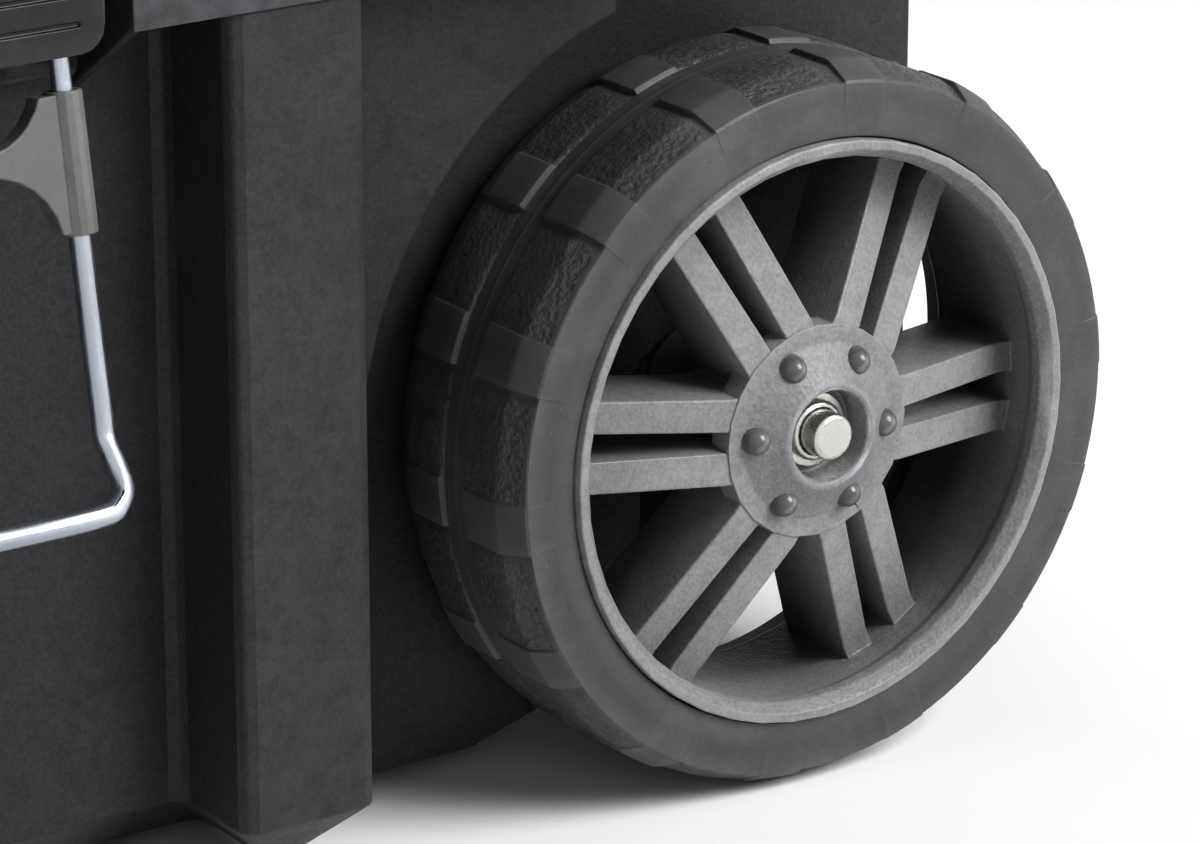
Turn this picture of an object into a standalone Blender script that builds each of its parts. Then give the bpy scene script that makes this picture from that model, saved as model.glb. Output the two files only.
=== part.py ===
"""Rolling toolbox: a moulded tub on two wheels, a hinged lid with a wire latch and a carry handle, and a
telescopic pull handle at the wheeled end.

Metres, +Z up. The origin is on the floor, in the middle of the toolbox. +X is the wheeled end and -Y is the
front, where the latch hangs.
"""

import math

import bmesh
import bpy
from mathutils import Matrix, Vector

# Overall size. The width is over the wheels, and the axle's ends stand a little proud of it
LENGTH = 0.616
WIDTH = 0.378
HEIGHT = 0.415

# Gap that touching pieces keep, and how far cutters reach past a face
GAP = 0.0003
PAST = 0.004
EDGE = 0.0008
SMALL_SIDES = 18
HUB_SIDES = 24
BARREL_SIDES = 48
WELL_STEPS = 12

# Tub
BODY_LENGTH = 0.5575
BODY_WIDTH = 0.338
WALL = 0.003
UNDERSIDE = 0.006
SPLIT_HEIGHT = 0.2735
COLLAR_HEIGHT = 0.038
COLLAR_STEP = 0.0006
FOOT_CHAMFER = 0.0125
CORNER_RADIUS = 0.004
LATCH_BAY = 0.133
LATCH_BAY_DEPTH = 0.032
POST_WIDTH = 0.0415
PANEL_WIDTH = 0.1145
PANEL_DEPTH = 0.029
HANDLE_BAY = 0.242
HOLD_BAY = 0.210
END_BAY_DEPTH = 0.012
GUSSET_THICKNESS = 0.003
GUSSET_DROP = 0.022
NOTCH_WIDTH = 0.080
BAY_RIB_RADIUS = 0.004
BAY_RIB_HEIGHT = 0.222
BAY_RIB_WIDTH = 0.090
RAMP_START = 0.072
RAMP_ANGLE = math.radians(16.0)

# Wheels
WHEEL_RADIUS = 0.100
TYRE_WIDTH = 0.058
TYRE_SETBACK = 0.002
TYRE_SEAT_RADIUS = 0.0806
SHOULDER_RADIUS = 0.096
SHOULDER_WIDTH = 0.008
GROOVE_WIDTH = 0.010
GROOVE_DEPTH = 0.0015
TREAD_PITCHES = 14
TREAD_PHASE = math.radians(5.2)
LUG_ANGLE = math.radians(8.0)
TREAD_GAP = 0.0030
TREAD_GAP_DEPTH = 0.0018
RIM_LIP_RADIUS = 0.0752
RIM_LIP_FLAT = 0.0024
RIM_LIP_SLOPE = 0.0032
BARREL_INNER_RADIUS = 0.0772
BARREL_LIP_DEPTH = 0.010
BARREL_DEPTH = 0.050
SPOKE_PAIRS = 6
SPOKE_PHASE = math.radians(-4.0)
SPOKE_WIDTH_INNER = 0.0092
SPOKE_WIDTH_OUTER = 0.0088
SPOKE_SLOT_INNER = 0.0050
SPOKE_SLOT_OUTER = 0.0084
SPOKE_HEEL_RADIUS = 0.0722
SPOKE_SETBACK = 0.0178
SPOKE_DEPTH = 0.027
SPOKE_STEP = 0.0006
SPOKE_ROOT = 0.0060
HUB_DISC_RADIUS = 0.0295
HUB_DISC_THICKNESS = 0.008
HUB_DISC_SETBACK = 0.0045
HUB_DRUM_RADIUS = 0.0245
HUB_TUBE_RADIUS = 0.0165
HUB_TAPER = 0.004
BOSS_BASE_RADIUS = 0.0245
BOSS_SHOULDER_RADIUS = 0.0162
BOSS_TOP_RADIUS = 0.0146
BOSS_RISE = 0.0015
BOSS_OPENING_RADIUS = 0.0125
BOSS_OPENING_DEPTH = 0.008
WHEEL_NUTS = 6
WHEEL_NUT_CIRCLE = 0.0212
WHEEL_NUT_RADIUS = 0.0037
WHEEL_NUT_HEIGHT = 0.0042
WHEEL_NUT_ROOT = 0.002
BUSH_RADIUS = 0.0090
BUSH_LENGTH = 0.012
WELL_RADIUS = 0.115
WELL_CLEARANCE = 0.004
WELL_TOP_ANGLE = math.radians(107.0)
CHEEK_REACH = 0.0345
CHEEK_THICKNESS = 0.0034
CHEEK_DROP = 0.004
CHEEK_CORNER = 0.028

# Axle and what holds it
AXLE_RADIUS = 0.00635
AXLE_PROUD = 0.003
AXLE_CHAMFER = 0.0008
WASHER_RADIUS = 0.0105
WASHER_THICKNESS = 0.0015
CAP_NUT_RADIUS = 0.0084
CAP_NUT_THICKNESS = 0.0022
SPACER_RADIUS = 0.0120
SLOT_WIDTH = 0.030
SADDLE_LENGTH = 0.026
SADDLE_DROP = 0.020
SADDLE_SCREW_OFFSET = 0.0107
SADDLE_SCREW_RADIUS = 0.0016
SADDLE_SCREW_REACH = 0.010
SCREW_BOSS_RADIUS = 0.0045
SCREW_HEAD_RADIUS = 0.0034
SCREW_HEAD_HEIGHT = 0.0020

# Feet
FOOT_LENGTH = 0.030
FOOT_WIDTH = 0.046
FOOT_INSET = 0.016
FOOT_SPACING = 0.250

# Lid
LID_TOP_BEVEL = 0.022
LID_WALL = 0.003
LID_NOTCH_WIDTH = 0.0630
LID_NOTCH_DEPTH = 0.0245
LID_NOTCH_TOP = 0.316
HINGE_SPACING = 0.170
HINGE_RADIUS = 0.0065
HINGE_PIN_RADIUS = 0.0022
KNUCKLE_LENGTH = 0.0110
KNUCKLE_GAP = 0.0004
HINGE_LUG_HEIGHT = 0.012

# Carry handle on the lid
POCKET_LENGTH = 0.200
POCKET_DEPTH = 0.034
POCKET_FRONT = -0.070
POCKET_BACK = 0.050
HANDLE_PIVOT_Y = 0.034
HANDLE_PIVOT_DROP = 0.0165
HANDLE_BAR_Y = -0.030
HANDLE_ARM_WIDTH = 0.014
HANDLE_ARM_HEIGHT = 0.016
HANDLE_BAR_WIDTH = 0.018
HANDLE_BAR_HEIGHT = 0.012
HANDLE_PIN_RADIUS = 0.003
GRIP_LENGTH = 0.130
GRIP_WALL = 0.0035

# Latch
LATCH_PIVOT_Y = -0.160
LATCH_PIVOT_Z = 0.300
LATCH_PIN_RADIUS = 0.0025
LATCH_BARREL_RADIUS = 0.0085
HOUSING_WIDTH = 0.0610
HOUSING_FACE_Y = -0.1725
HOUSING_BACK_Y = -0.1495
HOUSING_BOTTOM = 0.233
HOUSING_CORNER = 0.007
HOUSING_GROOVES = 6
HOUSING_GROOVE_PITCH = 0.0075
HOUSING_GROOVE_DEPTH = 0.0010
HOUSING_GROOVE_WIDTH = 0.0014
HOUSING_GROOVE_END = 0.007
NOSE_HEIGHT = 0.260
NOSE_REACH = 0.0042
NOSE_WIDTH = 0.034
WIRE_RADIUS = 0.003
WIRE_SPREAD = 0.0505
WIRE_TOP = 0.250
WIRE_LEAN = math.radians(10.0)
WIRE_REF_Y = -0.157
WIRE_REF_Z = 0.235
WIRE_KINK_Z = 0.1365
WIRE_BAR_Z = 0.1222
WIRE_BAR_Y = -0.1888
WIRE_BEND = 0.009
WEB_TOP = 0.221
WEB_BOTTOM = 0.187
WEB_THICKNESS = 0.0062
WEB_SLEEVE_RADIUS = 0.0048
WEB_SLEEVE_RUN = 0.0004
WEB_TOP_ARC = 0.018
WEB_BOTTOM_ARC = 0.0185
KEEPER_WIDTH = 0.040
KEEPER_HEIGHT = 0.026
KEEPER_THICKNESS = 0.0018
KEEPER_LIP = 0.0075
RIVET_RADIUS = 0.0018
RIVET_HEAD_RADIUS = 0.0034
RIVET_CROWN_RADIUS = 0.0022
RIVET_HEAD_HEIGHT = 0.0012

# Telescopic handle
TUBE_SPACING = 0.170
TUBE_WALL = 0.0012
GUIDE_DEPTH = 0.018
GUIDE_WIDTH = 0.024
GUIDE_BOTTOM = 0.060
GUIDE_TOP = 0.262
MIDDLE_TOP = 0.345
UPPER_TOP = 0.395
TUBE_STEP = 0.003
BRACKET_HEIGHT = 0.025
BRACKET_LOWER = 0.065
BRACKET_UPPER = 0.200
BRACKET_WIDTH = 0.204
BRACKET_STEP_WIDTH = 0.132
BRACKET_CENTRE_DEPTH = 0.010
BRACKET_WALL = 0.003
BRACKET_SCREW_SPACING = 0.090
BRACKET_SCREW_RADIUS = 0.0020
BRIDGE_HEIGHT = 0.018
BRIDGE_WIDTH = 0.206
BRIDGE_MARGIN = 0.0010
PULL_WIDTH = 0.210
PULL_DEPTH = 0.034
PULL_BOTTOM = 0.378
PULL_TOP = 0.410
PULL_BEVEL = 0.008
BUTTON_LENGTH = 0.048
BUTTON_DEPTH = 0.014
BUTTON_RISE = 0.0035
BUTTON_HEIGHT = 0.010
BUTTON_TRAVEL = 0.003

# Places worked out from the sizes above
BODY_LEFT = -LENGTH / 2
BODY_RIGHT = BODY_LEFT + BODY_LENGTH
MIDDLE_X = (BODY_LEFT + BODY_RIGHT) / 2
FACE_Y = BODY_WIDTH / 2
PANEL_Y = FACE_Y - PANEL_DEPTH
BAY_Y = FACE_Y - LATCH_BAY_DEPTH
COLLAR_LOW = SPLIT_HEIGHT - COLLAR_HEIGHT
LID_LOW = SPLIT_HEIGHT + GAP
AXLE_X = LENGTH / 2 - WHEEL_RADIUS
AXLE_Z = WHEEL_RADIUS
WHEEL_FACE_Y = WIDTH / 2
WELL_Y = WHEEL_FACE_Y - TYRE_SETBACK - TYRE_WIDTH - WELL_CLEARANCE
SLOT_ROOF = AXLE_Z + AXLE_RADIUS + GAP
RAMP_X = AXLE_X - RAMP_START
HINGE_Y = FACE_Y + HINGE_RADIUS + GAP
HINGE_Z = SPLIT_HEIGHT
CHEEK_RIGHT = BODY_RIGHT + CHEEK_REACH
TUBE_X = BODY_RIGHT + GAP + GUIDE_DEPTH / 2
HANDLE_PIVOT_Z = HEIGHT - HANDLE_PIVOT_DROP

# Colours, roughness and metallic value of each material
FINISHES = {
    "body_plastic": ((0.045, 0.045, 0.050), 0.55, 0.0),
    "lid_plastic": ((0.050, 0.050, 0.056), 0.55, 0.0),
    "latch_plastic": ((0.030, 0.030, 0.033), 0.35, 0.0),
    "web_plastic": ((0.25, 0.25, 0.235), 0.45, 0.0),
    "tyre_rubber": ((0.050, 0.051, 0.055), 0.75, 0.0),
    "rim_plastic": ((0.20, 0.20, 0.21), 0.45, 0.0),
    "grip_rubber": ((0.035, 0.035, 0.038), 0.80, 0.0),
    "zinc_wire": ((0.72, 0.75, 0.78), 0.25, 1.0),
    "nickel_steel": ((0.78, 0.76, 0.72), 0.22, 1.0),
    "tube_aluminium": ((0.62, 0.63, 0.65), 0.35, 1.0),
    "bush_plastic": ((0.60, 0.58, 0.52), 0.50, 0.0),
    "button_plastic": ((0.30, 0.30, 0.29), 0.40, 0.0),
}


def clear_scene():
    for obj in list(bpy.data.objects):
        bpy.data.objects.remove(obj, do_unlink=True)


def new_collection(name):
    collection = bpy.data.collections.new(name)
    bpy.context.scene.collection.children.link(collection)
    return collection


def make_materials():
    made = {}
    for name, (colour, roughness, metallic) in FINISHES.items():
        material = bpy.data.materials.new(name)
        material.use_nodes = True
        shader = material.node_tree.nodes["Principled BSDF"]
        shader.inputs["Base Color"].default_value = (*colour, 1.0)
        shader.inputs["Roughness"].default_value = roughness
        shader.inputs["Metallic"].default_value = metallic
        made[name] = material
    return made


clear_scene()
PARTS = new_collection("rolling_toolbox")
CUTTERS = new_collection("cutters")
CUTTERS.hide_render = True
MATERIALS = make_materials()


def mesh_object(name, shape):
    """An object in the cutters' collection, which finish() turns into a part."""
    mesh = bpy.data.meshes.new(name)
    bmesh.ops.recalc_face_normals(shape, faces=shape.faces)
    shape.to_mesh(mesh)
    shape.free()
    obj = bpy.data.objects.new(name, mesh)
    obj.hide_render = True
    obj.display_type = "WIRE"
    CUTTERS.objects.link(obj)
    return obj


def finish(obj, name, material, smooth=False):
    """Names a shape as a part of the toolbox and gives it its material."""
    CUTTERS.objects.unlink(obj)
    PARTS.objects.link(obj)
    obj.name = name
    obj.data.name = name
    obj.hide_render = False
    obj.display_type = "TEXTURED"
    obj.data.materials.clear()
    obj.data.materials.append(MATERIALS[material])
    if smooth:
        obj.data.shade_smooth()
        obj.data.set_sharp_from_angle(angle=math.radians(35))
    return obj


def set_pivot(obj, pivot):
    """Moves an object's origin to the axis that it turns on, and leaves its shape where it is."""
    obj.data.transform(Matrix.Translation(-Vector(pivot)))
    obj.location = pivot


def boolean(obj, operation, tools):
    """Joins or cuts with all the tools in one step, so that the tools may cross each other."""
    group = bpy.data.collections.new(f"{obj.name}_{operation.lower()}")
    CUTTERS.children.link(group)
    for tool in tools:
        group.objects.link(tool)
    modifier = obj.modifiers.new(group.name, "BOOLEAN")
    modifier.operation = operation
    modifier.operand_type = "COLLECTION"
    modifier.collection = group
    modifier.solver = "EXACT"


def cut(obj, *tools):
    boolean(obj, "DIFFERENCE", tools)


def join(obj, *tools):
    boolean(obj, "UNION", tools)


def apply_modifiers(obj):
    graph = bpy.context.evaluated_depsgraph_get()
    graph.update()
    mesh = bpy.data.meshes.new_from_object(obj.evaluated_get(graph))
    obj.modifiers.clear()
    obj.data = mesh
    return obj


def block(low, high, name="block"):
    """A box between two corners."""
    low, high = Vector(low), Vector(high)
    shape = bmesh.new()
    bmesh.ops.create_cube(shape, size=1.0)
    bmesh.ops.scale(shape, vec=high - low, verts=shape.verts)
    bmesh.ops.translate(shape, vec=(low + high) / 2, verts=shape.verts)
    return mesh_object(name, shape)


def rod(start, end, radius, steps=SMALL_SIDES, end_radius=None, name="rod"):
    """A cylinder or a cone along a line."""
    start, end = Vector(start), Vector(end)
    along = end - start
    shape = bmesh.new()
    top = radius if end_radius is None else end_radius
    bmesh.ops.create_cone(
        shape, cap_ends=True, segments=steps, radius1=radius, radius2=top, depth=along.length
    )
    turn = Vector((0, 0, 1)).rotation_difference(along.normalized()).to_matrix()
    bmesh.ops.rotate(shape, matrix=turn, verts=shape.verts)
    bmesh.ops.translate(shape, vec=(start + end) / 2, verts=shape.verts)
    return mesh_object(name, shape)


def from_curve(curve_object, name):
    """The curve's surface as a closed mesh in the place where the curve lies."""
    graph = bpy.context.evaluated_depsgraph_get()
    graph.update()
    mesh = bpy.data.meshes.new_from_object(curve_object.evaluated_get(graph))
    shape = bmesh.new()
    shape.from_mesh(mesh)
    bmesh.ops.remove_doubles(shape, verts=shape.verts, dist=0.00001)
    bmesh.ops.dissolve_limit(
        shape, angle_limit=math.radians(0.5), verts=shape.verts, edges=shape.edges
    )
    shape.transform(curve_object.matrix_world)
    bpy.data.meshes.remove(mesh)
    bpy.data.objects.remove(curve_object, do_unlink=True)
    return mesh_object(name, shape)


def new_curve(name, dimensions):
    curve = bpy.data.curves.new(name, "CURVE")
    curve.dimensions = dimensions
    obj = bpy.data.objects.new(name, curve)
    CUTTERS.objects.link(obj)
    return obj


def plate(outline, low, high, plane="XY", name="plate"):
    """A flat outline given a thickness. In plane XY that runs along Z, in XZ along Y and in YZ along X."""
    obj = new_curve(name, "2D")
    curve = obj.data
    curve.fill_mode = "BOTH"
    curve.extrude = (high - low) / 2
    spline = curve.splines.new("POLY")
    spline.points.add(len(outline) - 1)
    for point, (across, up) in zip(spline.points, outline):
        point.co = (across, up, 0.0, 1.0)
    spline.use_cyclic_u = True
    middle = (low + high) / 2
    turns = {
        "XY": Matrix.Translation((0, 0, middle)),
        "XZ": Matrix.Translation((0, middle, 0)) @ Matrix.Rotation(math.pi / 2, 4, "X"),
        "YZ": Matrix.Translation((middle, 0, 0))
        @ Matrix.Rotation(math.pi / 2, 4, "Z")
        @ Matrix.Rotation(math.pi / 2, 4, "X"),
    }
    obj.matrix_world = turns[plane]
    return from_curve(obj, name)


def turned(profile, steps, centre, side=-1, name="turned", phase=0.0):
    """A profile of (radius, distance along the axle) turned about the axle through centre.

    Distances run inwards from the wheel's face on the given side: -1 is the front and +1 the rear.
    """
    shape = bmesh.new()
    points = [shape.verts.new((radius, 0.0, along)) for radius, along in profile]
    for first, second in zip(points, points[1:] + points[:1]):
        shape.edges.new((first, second))
    mesh = bpy.data.meshes.new(name)
    shape.to_mesh(mesh)
    shape.free()
    obj = bpy.data.objects.new(name, mesh)
    CUTTERS.objects.link(obj)
    screw = obj.modifiers.new("turn", "SCREW")
    screw.axis = "Z"
    screw.steps = steps
    screw.render_steps = steps
    screw.use_merge_vertices = True
    screw.merge_threshold = 0.00001
    apply_modifiers(obj)
    place = (
        Matrix.Translation(centre)
        @ Matrix.Rotation(math.pi / 2 * side, 4, "X")
        @ Matrix.Rotation(phase, 4, "Z")
    )
    shape = bmesh.new()
    shape.from_mesh(obj.data)
    bmesh.ops.remove_doubles(shape, verts=shape.verts, dist=0.00001)
    shape.transform(place)
    bpy.data.objects.remove(obj, do_unlink=True)
    return mesh_object(name, shape)


def arc(centre, radius, start, end, steps):
    """Points on an arc, from one angle to another, both ends included."""
    angles = [start + (end - start) * step / steps for step in range(steps + 1)]
    return [(centre[0] + radius * math.cos(a), centre[1] + radius * math.sin(a)) for a in angles]


def rectangle(low, high):
    return [(low[0], low[1]), (high[0], low[1]), (high[0], high[1]), (low[0], high[1])]


def rounded_loop(corners, radius, steps):
    """A closed outline with each corner replaced by an arc."""
    loop = []
    for number, corner in enumerate(corners):
        before = Vector(corners[number - 1])
        after = Vector(corners[(number + 1) % len(corners)])
        corner = Vector(corner)
        back = (before - corner).normalized() * radius
        ahead = (after - corner).normalized() * radius
        centre = corner + back + ahead
        for step in range(steps + 1):
            angle = step / steps * math.pi / 2
            loop.append(centre - ahead * math.cos(angle) - back * math.sin(angle))
    return [(x, y) for x, y in loop]


def bevel_edges(obj, chosen, width, segments=1):
    """Bevels the edges for which chosen(edge) is true."""
    shape = bmesh.new()
    shape.from_mesh(obj.data)
    edges = [edge for edge in shape.edges if chosen(edge)]
    bmesh.ops.bevel(
        shape, geom=edges, offset=width, segments=segments, profile=0.5, affect="EDGES"
    )
    shape.to_mesh(obj.data)
    shape.free()
    return obj


def is_along(edge, axis):
    """True for an edge that runs along X (0), Y (1) or Z (2)."""
    line = edge.verts[1].co - edge.verts[0].co
    return abs(line[axis]) > 0.999 * line.length


def is_level_at(edge, height):
    return all(abs(vert.co.z - height) < GAP for vert in edge.verts)


def body_outline(inset, steps=2):
    """The tub seen from above: bays and panels set back between posts. Inset moves every wall inwards."""
    half = BODY_LENGTH / 2
    bay = LATCH_BAY / 2
    post = bay + POST_WIDTH
    panel = post + PANEL_WIDTH
    side = [
        (bay + inset, BAY_Y - inset),
        (bay + inset, FACE_Y - inset),
        (post - inset, FACE_Y - inset),
        (post - inset, PANEL_Y - inset),
        (panel + inset, PANEL_Y - inset),
        (panel + inset, FACE_Y - inset),
        (half - inset, FACE_Y - inset),
    ]
    right, left = [
        [
            (half - inset, width / 2 + inset),
            (half - END_BAY_DEPTH - inset, width / 2 + inset),
        ]
        for width in (HANDLE_BAY, HOLD_BAY)
    ]
    back_right = side + right
    front_right = [(x, -y) for x, y in reversed(back_right)]
    front_left = [(-x, -y) for x, y in side + left]
    back_left = [(-x, y) for x, y in reversed(side + left)]
    ring = back_right + front_right + front_left + back_left
    return rounded_loop([(MIDDLE_X + x, y) for x, y in ring], CORNER_RADIUS, steps)


def below_ramp(lift, name):
    """Everything under the sloping underside, raised by lift."""
    near = RAMP_X - 2 * FOOT_CHAMFER
    far = CHEEK_RIGHT + PAST
    slope = math.tan(RAMP_ANGLE)
    outline = [
        (near, UNDERSIDE + lift + (near - RAMP_X) * slope),
        (near, -2 * FOOT_CHAMFER),
        (far, -2 * FOOT_CHAMFER),
        (far, UNDERSIDE + lift + (far - RAMP_X) * slope),
    ]
    return plate(outline, -WIDTH, WIDTH, "XZ", name)


def collar_pockets():
    """The hollows under the collar, one in each bay: (low x, high x, low y, high y)."""
    half = BODY_LENGTH / 2
    bay = LATCH_BAY / 2
    post = bay + POST_WIDTH
    panel = post + PANEL_WIDTH
    skirt = FACE_Y - WALL
    gusset = GUSSET_THICKNESS + COLLAR_STEP / 2
    notch = NOTCH_WIDTH / 2
    pockets = []
    for side in (-1, 1):
        for end in (-1, 1):
            across = sorted((end * (post + gusset), end * (panel - gusset)))
            deep = sorted((side * PANEL_Y, side * skirt))
            pockets.append((MIDDLE_X + across[0], MIDDLE_X + across[1], *deep))
    pockets.append((MIDDLE_X - bay + gusset, MIDDLE_X + bay - gusset, BAY_Y, skirt))
    for end in (-1, 1):
        across = sorted((end * (notch + gusset), end * (bay - gusset)))
        pockets.append((MIDDLE_X + across[0], MIDDLE_X + across[1], -skirt, -BAY_Y))
        deep = sorted((end * (half - END_BAY_DEPTH), end * (half - WALL)))
        reach = (HANDLE_BAY if end > 0 else HOLD_BAY) / 2 - gusset
        pockets.append((MIDDLE_X + deep[0], MIDDLE_X + deep[1], -reach, reach))
    return pockets


def gusset(low_x, high_x, side, bay_y):
    """A triangular rib that carries the collar from the wall below it."""
    outer = side * (FACE_Y - GAP)
    inner = side * (bay_y - WALL / 2)
    outline = [
        (outer, COLLAR_LOW + GAP),
        (outer, COLLAR_LOW + PAST),
        (inner, COLLAR_LOW + PAST),
        (inner, COLLAR_LOW - GUSSET_DROP),
    ]
    if side > 0:
        outline.reverse()
    return plate(outline, low_x, high_x, "YZ", "gusset")


def collar_gussets():
    bay = LATCH_BAY / 2
    notch = NOTCH_WIDTH / 2
    post = bay + POST_WIDTH
    panel = post + PANEL_WIDTH
    thick = GUSSET_THICKNESS
    ribs = []
    for low in (-notch - thick, notch):
        ribs.append(gusset(MIDDLE_X + low, MIDDLE_X + low + thick, -1, BAY_Y))
    sunk = 2 * COLLAR_STEP
    for side in (-1, 1):
        for end in (-1, 1):
            spans = [(post - sunk, post + thick)]
            if end < 0:
                spans.append((panel + sunk, panel - thick))
            for root, rib_end in spans:
                low, high = sorted((end * root, end * rib_end))
                ribs.append(gusset(MIDDLE_X + low, MIDDLE_X + high, side, PANEL_Y))
    return ribs


def tub_hinge_knuckle(x, lid=False):
    """One hinge knuckle with the lug that joins it to the tub's or the lid's rear face."""
    low = x - KNUCKLE_LENGTH / 2
    high = x + KNUCKLE_LENGTH / 2
    barrel = rod((low, HINGE_Y, HINGE_Z), (high, HINGE_Y, HINGE_Z), HINGE_RADIUS, 20)
    root_y = FACE_Y - WALL / 2
    if lid:
        lug = block(
            (low + GAP, root_y, LID_LOW + GAP), (high - GAP, HINGE_Y, HINGE_Z + HINGE_LUG_HEIGHT)
        )
    else:
        lug = block(
            (low + GAP, root_y, HINGE_Z - HINGE_LUG_HEIGHT), (high - GAP, HINGE_Y, HINGE_Z - GAP)
        )
    return barrel, lug


def hinge_centres():
    return (MIDDLE_X - HINGE_SPACING / 2, MIDDLE_X + HINGE_SPACING / 2)


def hinge_bore(x):
    reach = 1.5 * KNUCKLE_LENGTH + KNUCKLE_GAP + PAST
    return rod(
        (x - reach, HINGE_Y, HINGE_Z), (x + reach, HINGE_Y, HINGE_Z), HINGE_PIN_RADIUS + GAP, 16
    )


def wheel_well(grow, side, name):
    """The hollow that a wheel stands in, open to the outside, the floor and the end. Grow widens it."""
    radius = WELL_RADIUS + grow
    far = CHEEK_RIGHT + PAST
    top = COLLAR_LOW - GAP + grow
    outline = arc((AXLE_X, AXLE_Z), radius, math.pi, WELL_TOP_ANGLE, WELL_STEPS)
    outline += [(outline[-1][0], top), (far, top), (far, -PAST), (AXLE_X - radius, -PAST)]
    faces = sorted((side * (WELL_Y - grow), side * (WHEEL_FACE_Y + PAST)))
    return plate(outline, faces[0], faces[1], "XZ", name)


def cheek(side):
    """The plate behind a wheel that runs on past the end, beside the telescopic handle."""
    top = COLLAR_LOW - CHEEK_DROP
    corner = (CHEEK_RIGHT - CHEEK_CORNER, top - CHEEK_CORNER)
    outline = [(BODY_RIGHT - WALL, -PAST), (CHEEK_RIGHT, -PAST)]
    outline += arc(corner, CHEEK_CORNER, 0.0, math.pi / 2, 6)
    outline.append((BODY_RIGHT - WALL, top))
    faces = sorted((side * (WELL_Y - CHEEK_THICKNESS), side * (WELL_Y + PAST)))
    return plate(outline, faces[0], faces[1], "XZ", "cheek")


def saddle_screw_places():
    """(x, y) of the four screws that hold the axle's saddles."""
    saddle_y = WELL_Y - SADDLE_LENGTH / 2
    return [
        (AXLE_X + dx, side * saddle_y)
        for side in (-1, 1)
        for dx in (-SADDLE_SCREW_OFFSET, SADDLE_SCREW_OFFSET)
    ]


def bracket_screw_places():
    """(y, z) of the four screws that hold the telescopic handle's brackets."""
    return [
        (dy, low + BRACKET_HEIGHT / 2)
        for low in (BRACKET_LOWER, BRACKET_UPPER)
        for dy in (-BRACKET_SCREW_SPACING / 2, BRACKET_SCREW_SPACING / 2)
    ]


def keeper_rivet_places():
    """(x, z) of the rivets that hold the latch keeper."""
    height = SPLIT_HEIGHT - KEEPER_HEIGHT + RIVET_HEAD_RADIUS + 0.001
    return [(MIDDLE_X + dx, height) for dx in (-KEEPER_WIDTH / 3, KEEPER_WIDTH / 3)]


def tub_cavity():
    """The room inside the tub, which goes round the wheel wells and over the axle's slot."""
    chamfer = FOOT_CHAMFER - (2 - math.sqrt(2)) * WALL
    low = UNDERSIDE + WALL
    cavity = footed(WALL + COLLAR_STEP, chamfer, low, SPLIT_HEIGHT + PAST, 1, "tub_cavity")
    hump_x = SLOT_WIDTH / 2 + WALL
    hump = block(
        (AXLE_X - hump_x, -WIDTH, -PAST), (AXLE_X + hump_x, WIDTH, SLOT_ROOF + WALL), "slot_hump"
    )
    tools = [hump, below_ramp(WALL, "ramp_floor")]
    for side in (-1, 1):
        tools.append(wheel_well(WALL, side, "well_wall"))
    for x, y in saddle_screw_places():
        top = SLOT_ROOF + SADDLE_SCREW_REACH + WALL
        tools.append(rod((x, y, SLOT_ROOF), (x, y, top), SCREW_BOSS_RADIUS, 14))
    cut(cavity, *tools)
    return cavity


def footed(inset, chamfer, low, high, steps, name):
    """The tub's outline as a solid, drawn in all round at its foot."""
    outline = body_outline(inset, steps)
    drawn_in = body_outline(inset + chamfer, steps)
    solid = plate(outline, low, high, name=name)
    shape = bmesh.new()
    shape.from_mesh(solid.data)
    bmesh.ops.bisect_plane(
        shape,
        geom=[*shape.verts, *shape.edges, *shape.faces],
        dist=GAP / 10,
        plane_co=(0, 0, low + chamfer),
        plane_no=(0, 0, 1),
    )
    for vert in shape.verts:
        if vert.co.z < low + GAP:
            here = Vector(vert.co[:2])
            number = min(range(len(outline)), key=lambda i: (Vector(outline[i]) - here).length)
            vert.co.x, vert.co.y = drawn_in[number]
    shape.to_mesh(solid.data)
    shape.free()
    return solid


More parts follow.
